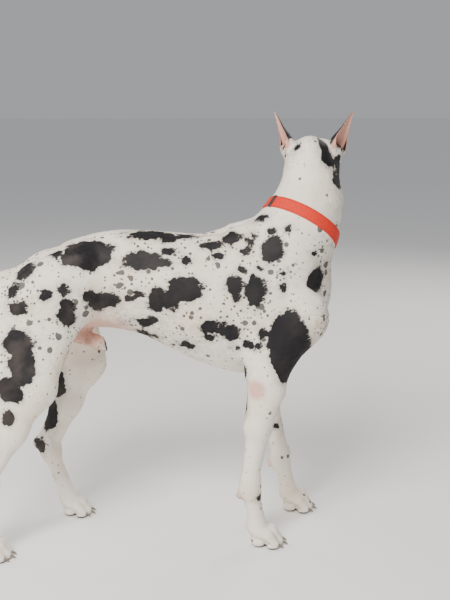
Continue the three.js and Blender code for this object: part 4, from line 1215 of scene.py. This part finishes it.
def claws():
    """The solids' own claws, smooth and of horn."""
    horn = material("horn", (0.20, 0.165, 0.13), roughness=0.38)
    for name, node in nodes.items():
        if name.startswith("claw"):
            node.data.materials.clear()
            node.data.materials.append(horn)
            shade_smooth(node)


FLOOR_HALF = 90.0
FLOOR_COLOUR = (0.92, 0.915, 0.90)
SKY, SKY_STRENGTH = (0.93, 0.95, 1.0), 0.42
LAMPS = (((-2.6, 1.2, 3.0), 1.7, 225), ((2.6, -2.4, 2.8), 2.2, 70), ((1.5, 3.0, 2.6), 2.2, 40))
LAMP_COLOUR = (1.0, 0.955, 0.89)


def studio():
    """A pale floor, an even sky and three soft lamps, the strongest where the photo's sun stands."""
    floor_mesh = bpy.data.meshes.new("floor")
    ways = ((-1, -1), (1, -1), (1, 1), (-1, 1))
    floor_mesh.from_pydata([(x * FLOOR_HALF, y * FLOOR_HALF, 0) for x, y in ways], [], [(0, 1, 2, 3)])
    floor = new_object("floor", floor_mesh)
    floor_mesh.materials.append(material("floor", FLOOR_COLOUR, roughness=0.9))
    world = bpy.data.worlds.new("studio")
    world.use_nodes = True
    world.node_tree.nodes["Background"].inputs["Color"].default_value = (*SKY, 1)
    world.node_tree.nodes["Background"].inputs["Strength"].default_value = SKY_STRENGTH
    bpy.context.scene.world = world
    for place, size, power in LAMPS:
        data = bpy.data.lights.new("soft", "AREA")
        data.size, data.energy, data.color = size, power, LAMP_COLOUR
        lamp = new_object("soft", data)
        lamp.location = place
        lamp.rotation_euler = (Vector((0, 0, 0.6)) - Vector(place)).to_track_quat("-Z", "Y").to_euler()


camera()
skin = make_skin()
places = to_dog(vertices(skin.data))
normals = np.empty(len(skin.data.vertices) * 3)
skin.data.vertex_normals.foreach_get("vector", normals)
normals = normals.reshape(-1, 3)
tree = BVHTree.FromPolygons(
    [Vector(p) for p in vertices(skin.data)], [tuple(f.vertices) for f in skin.data.polygons]
)
for name, values in zip(MARKINGS, (
    marks(places, normals, tree), bareness(places, normals), leather(places), ticking(places), worn(places),
)):
    set_float(skin.data, name, values)
coat = coat_material()
unwrap(skin)
skin.data.materials.clear()
skin.data.materials.append(coat)
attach(skin, "root")
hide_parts(*FLESH)
for i in range(COAT_PIECES):
    fur = tufts(skin, f"fur_{i + 1}", TUFTS)
    fur.data.materials.append(coat)
    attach(fur, "root")
looks = eye_materials()
for side, name in ((1, "eye_left"), (-1, "eye_right")):
    eye(side, name, looks)
collar()
claws()
studio()
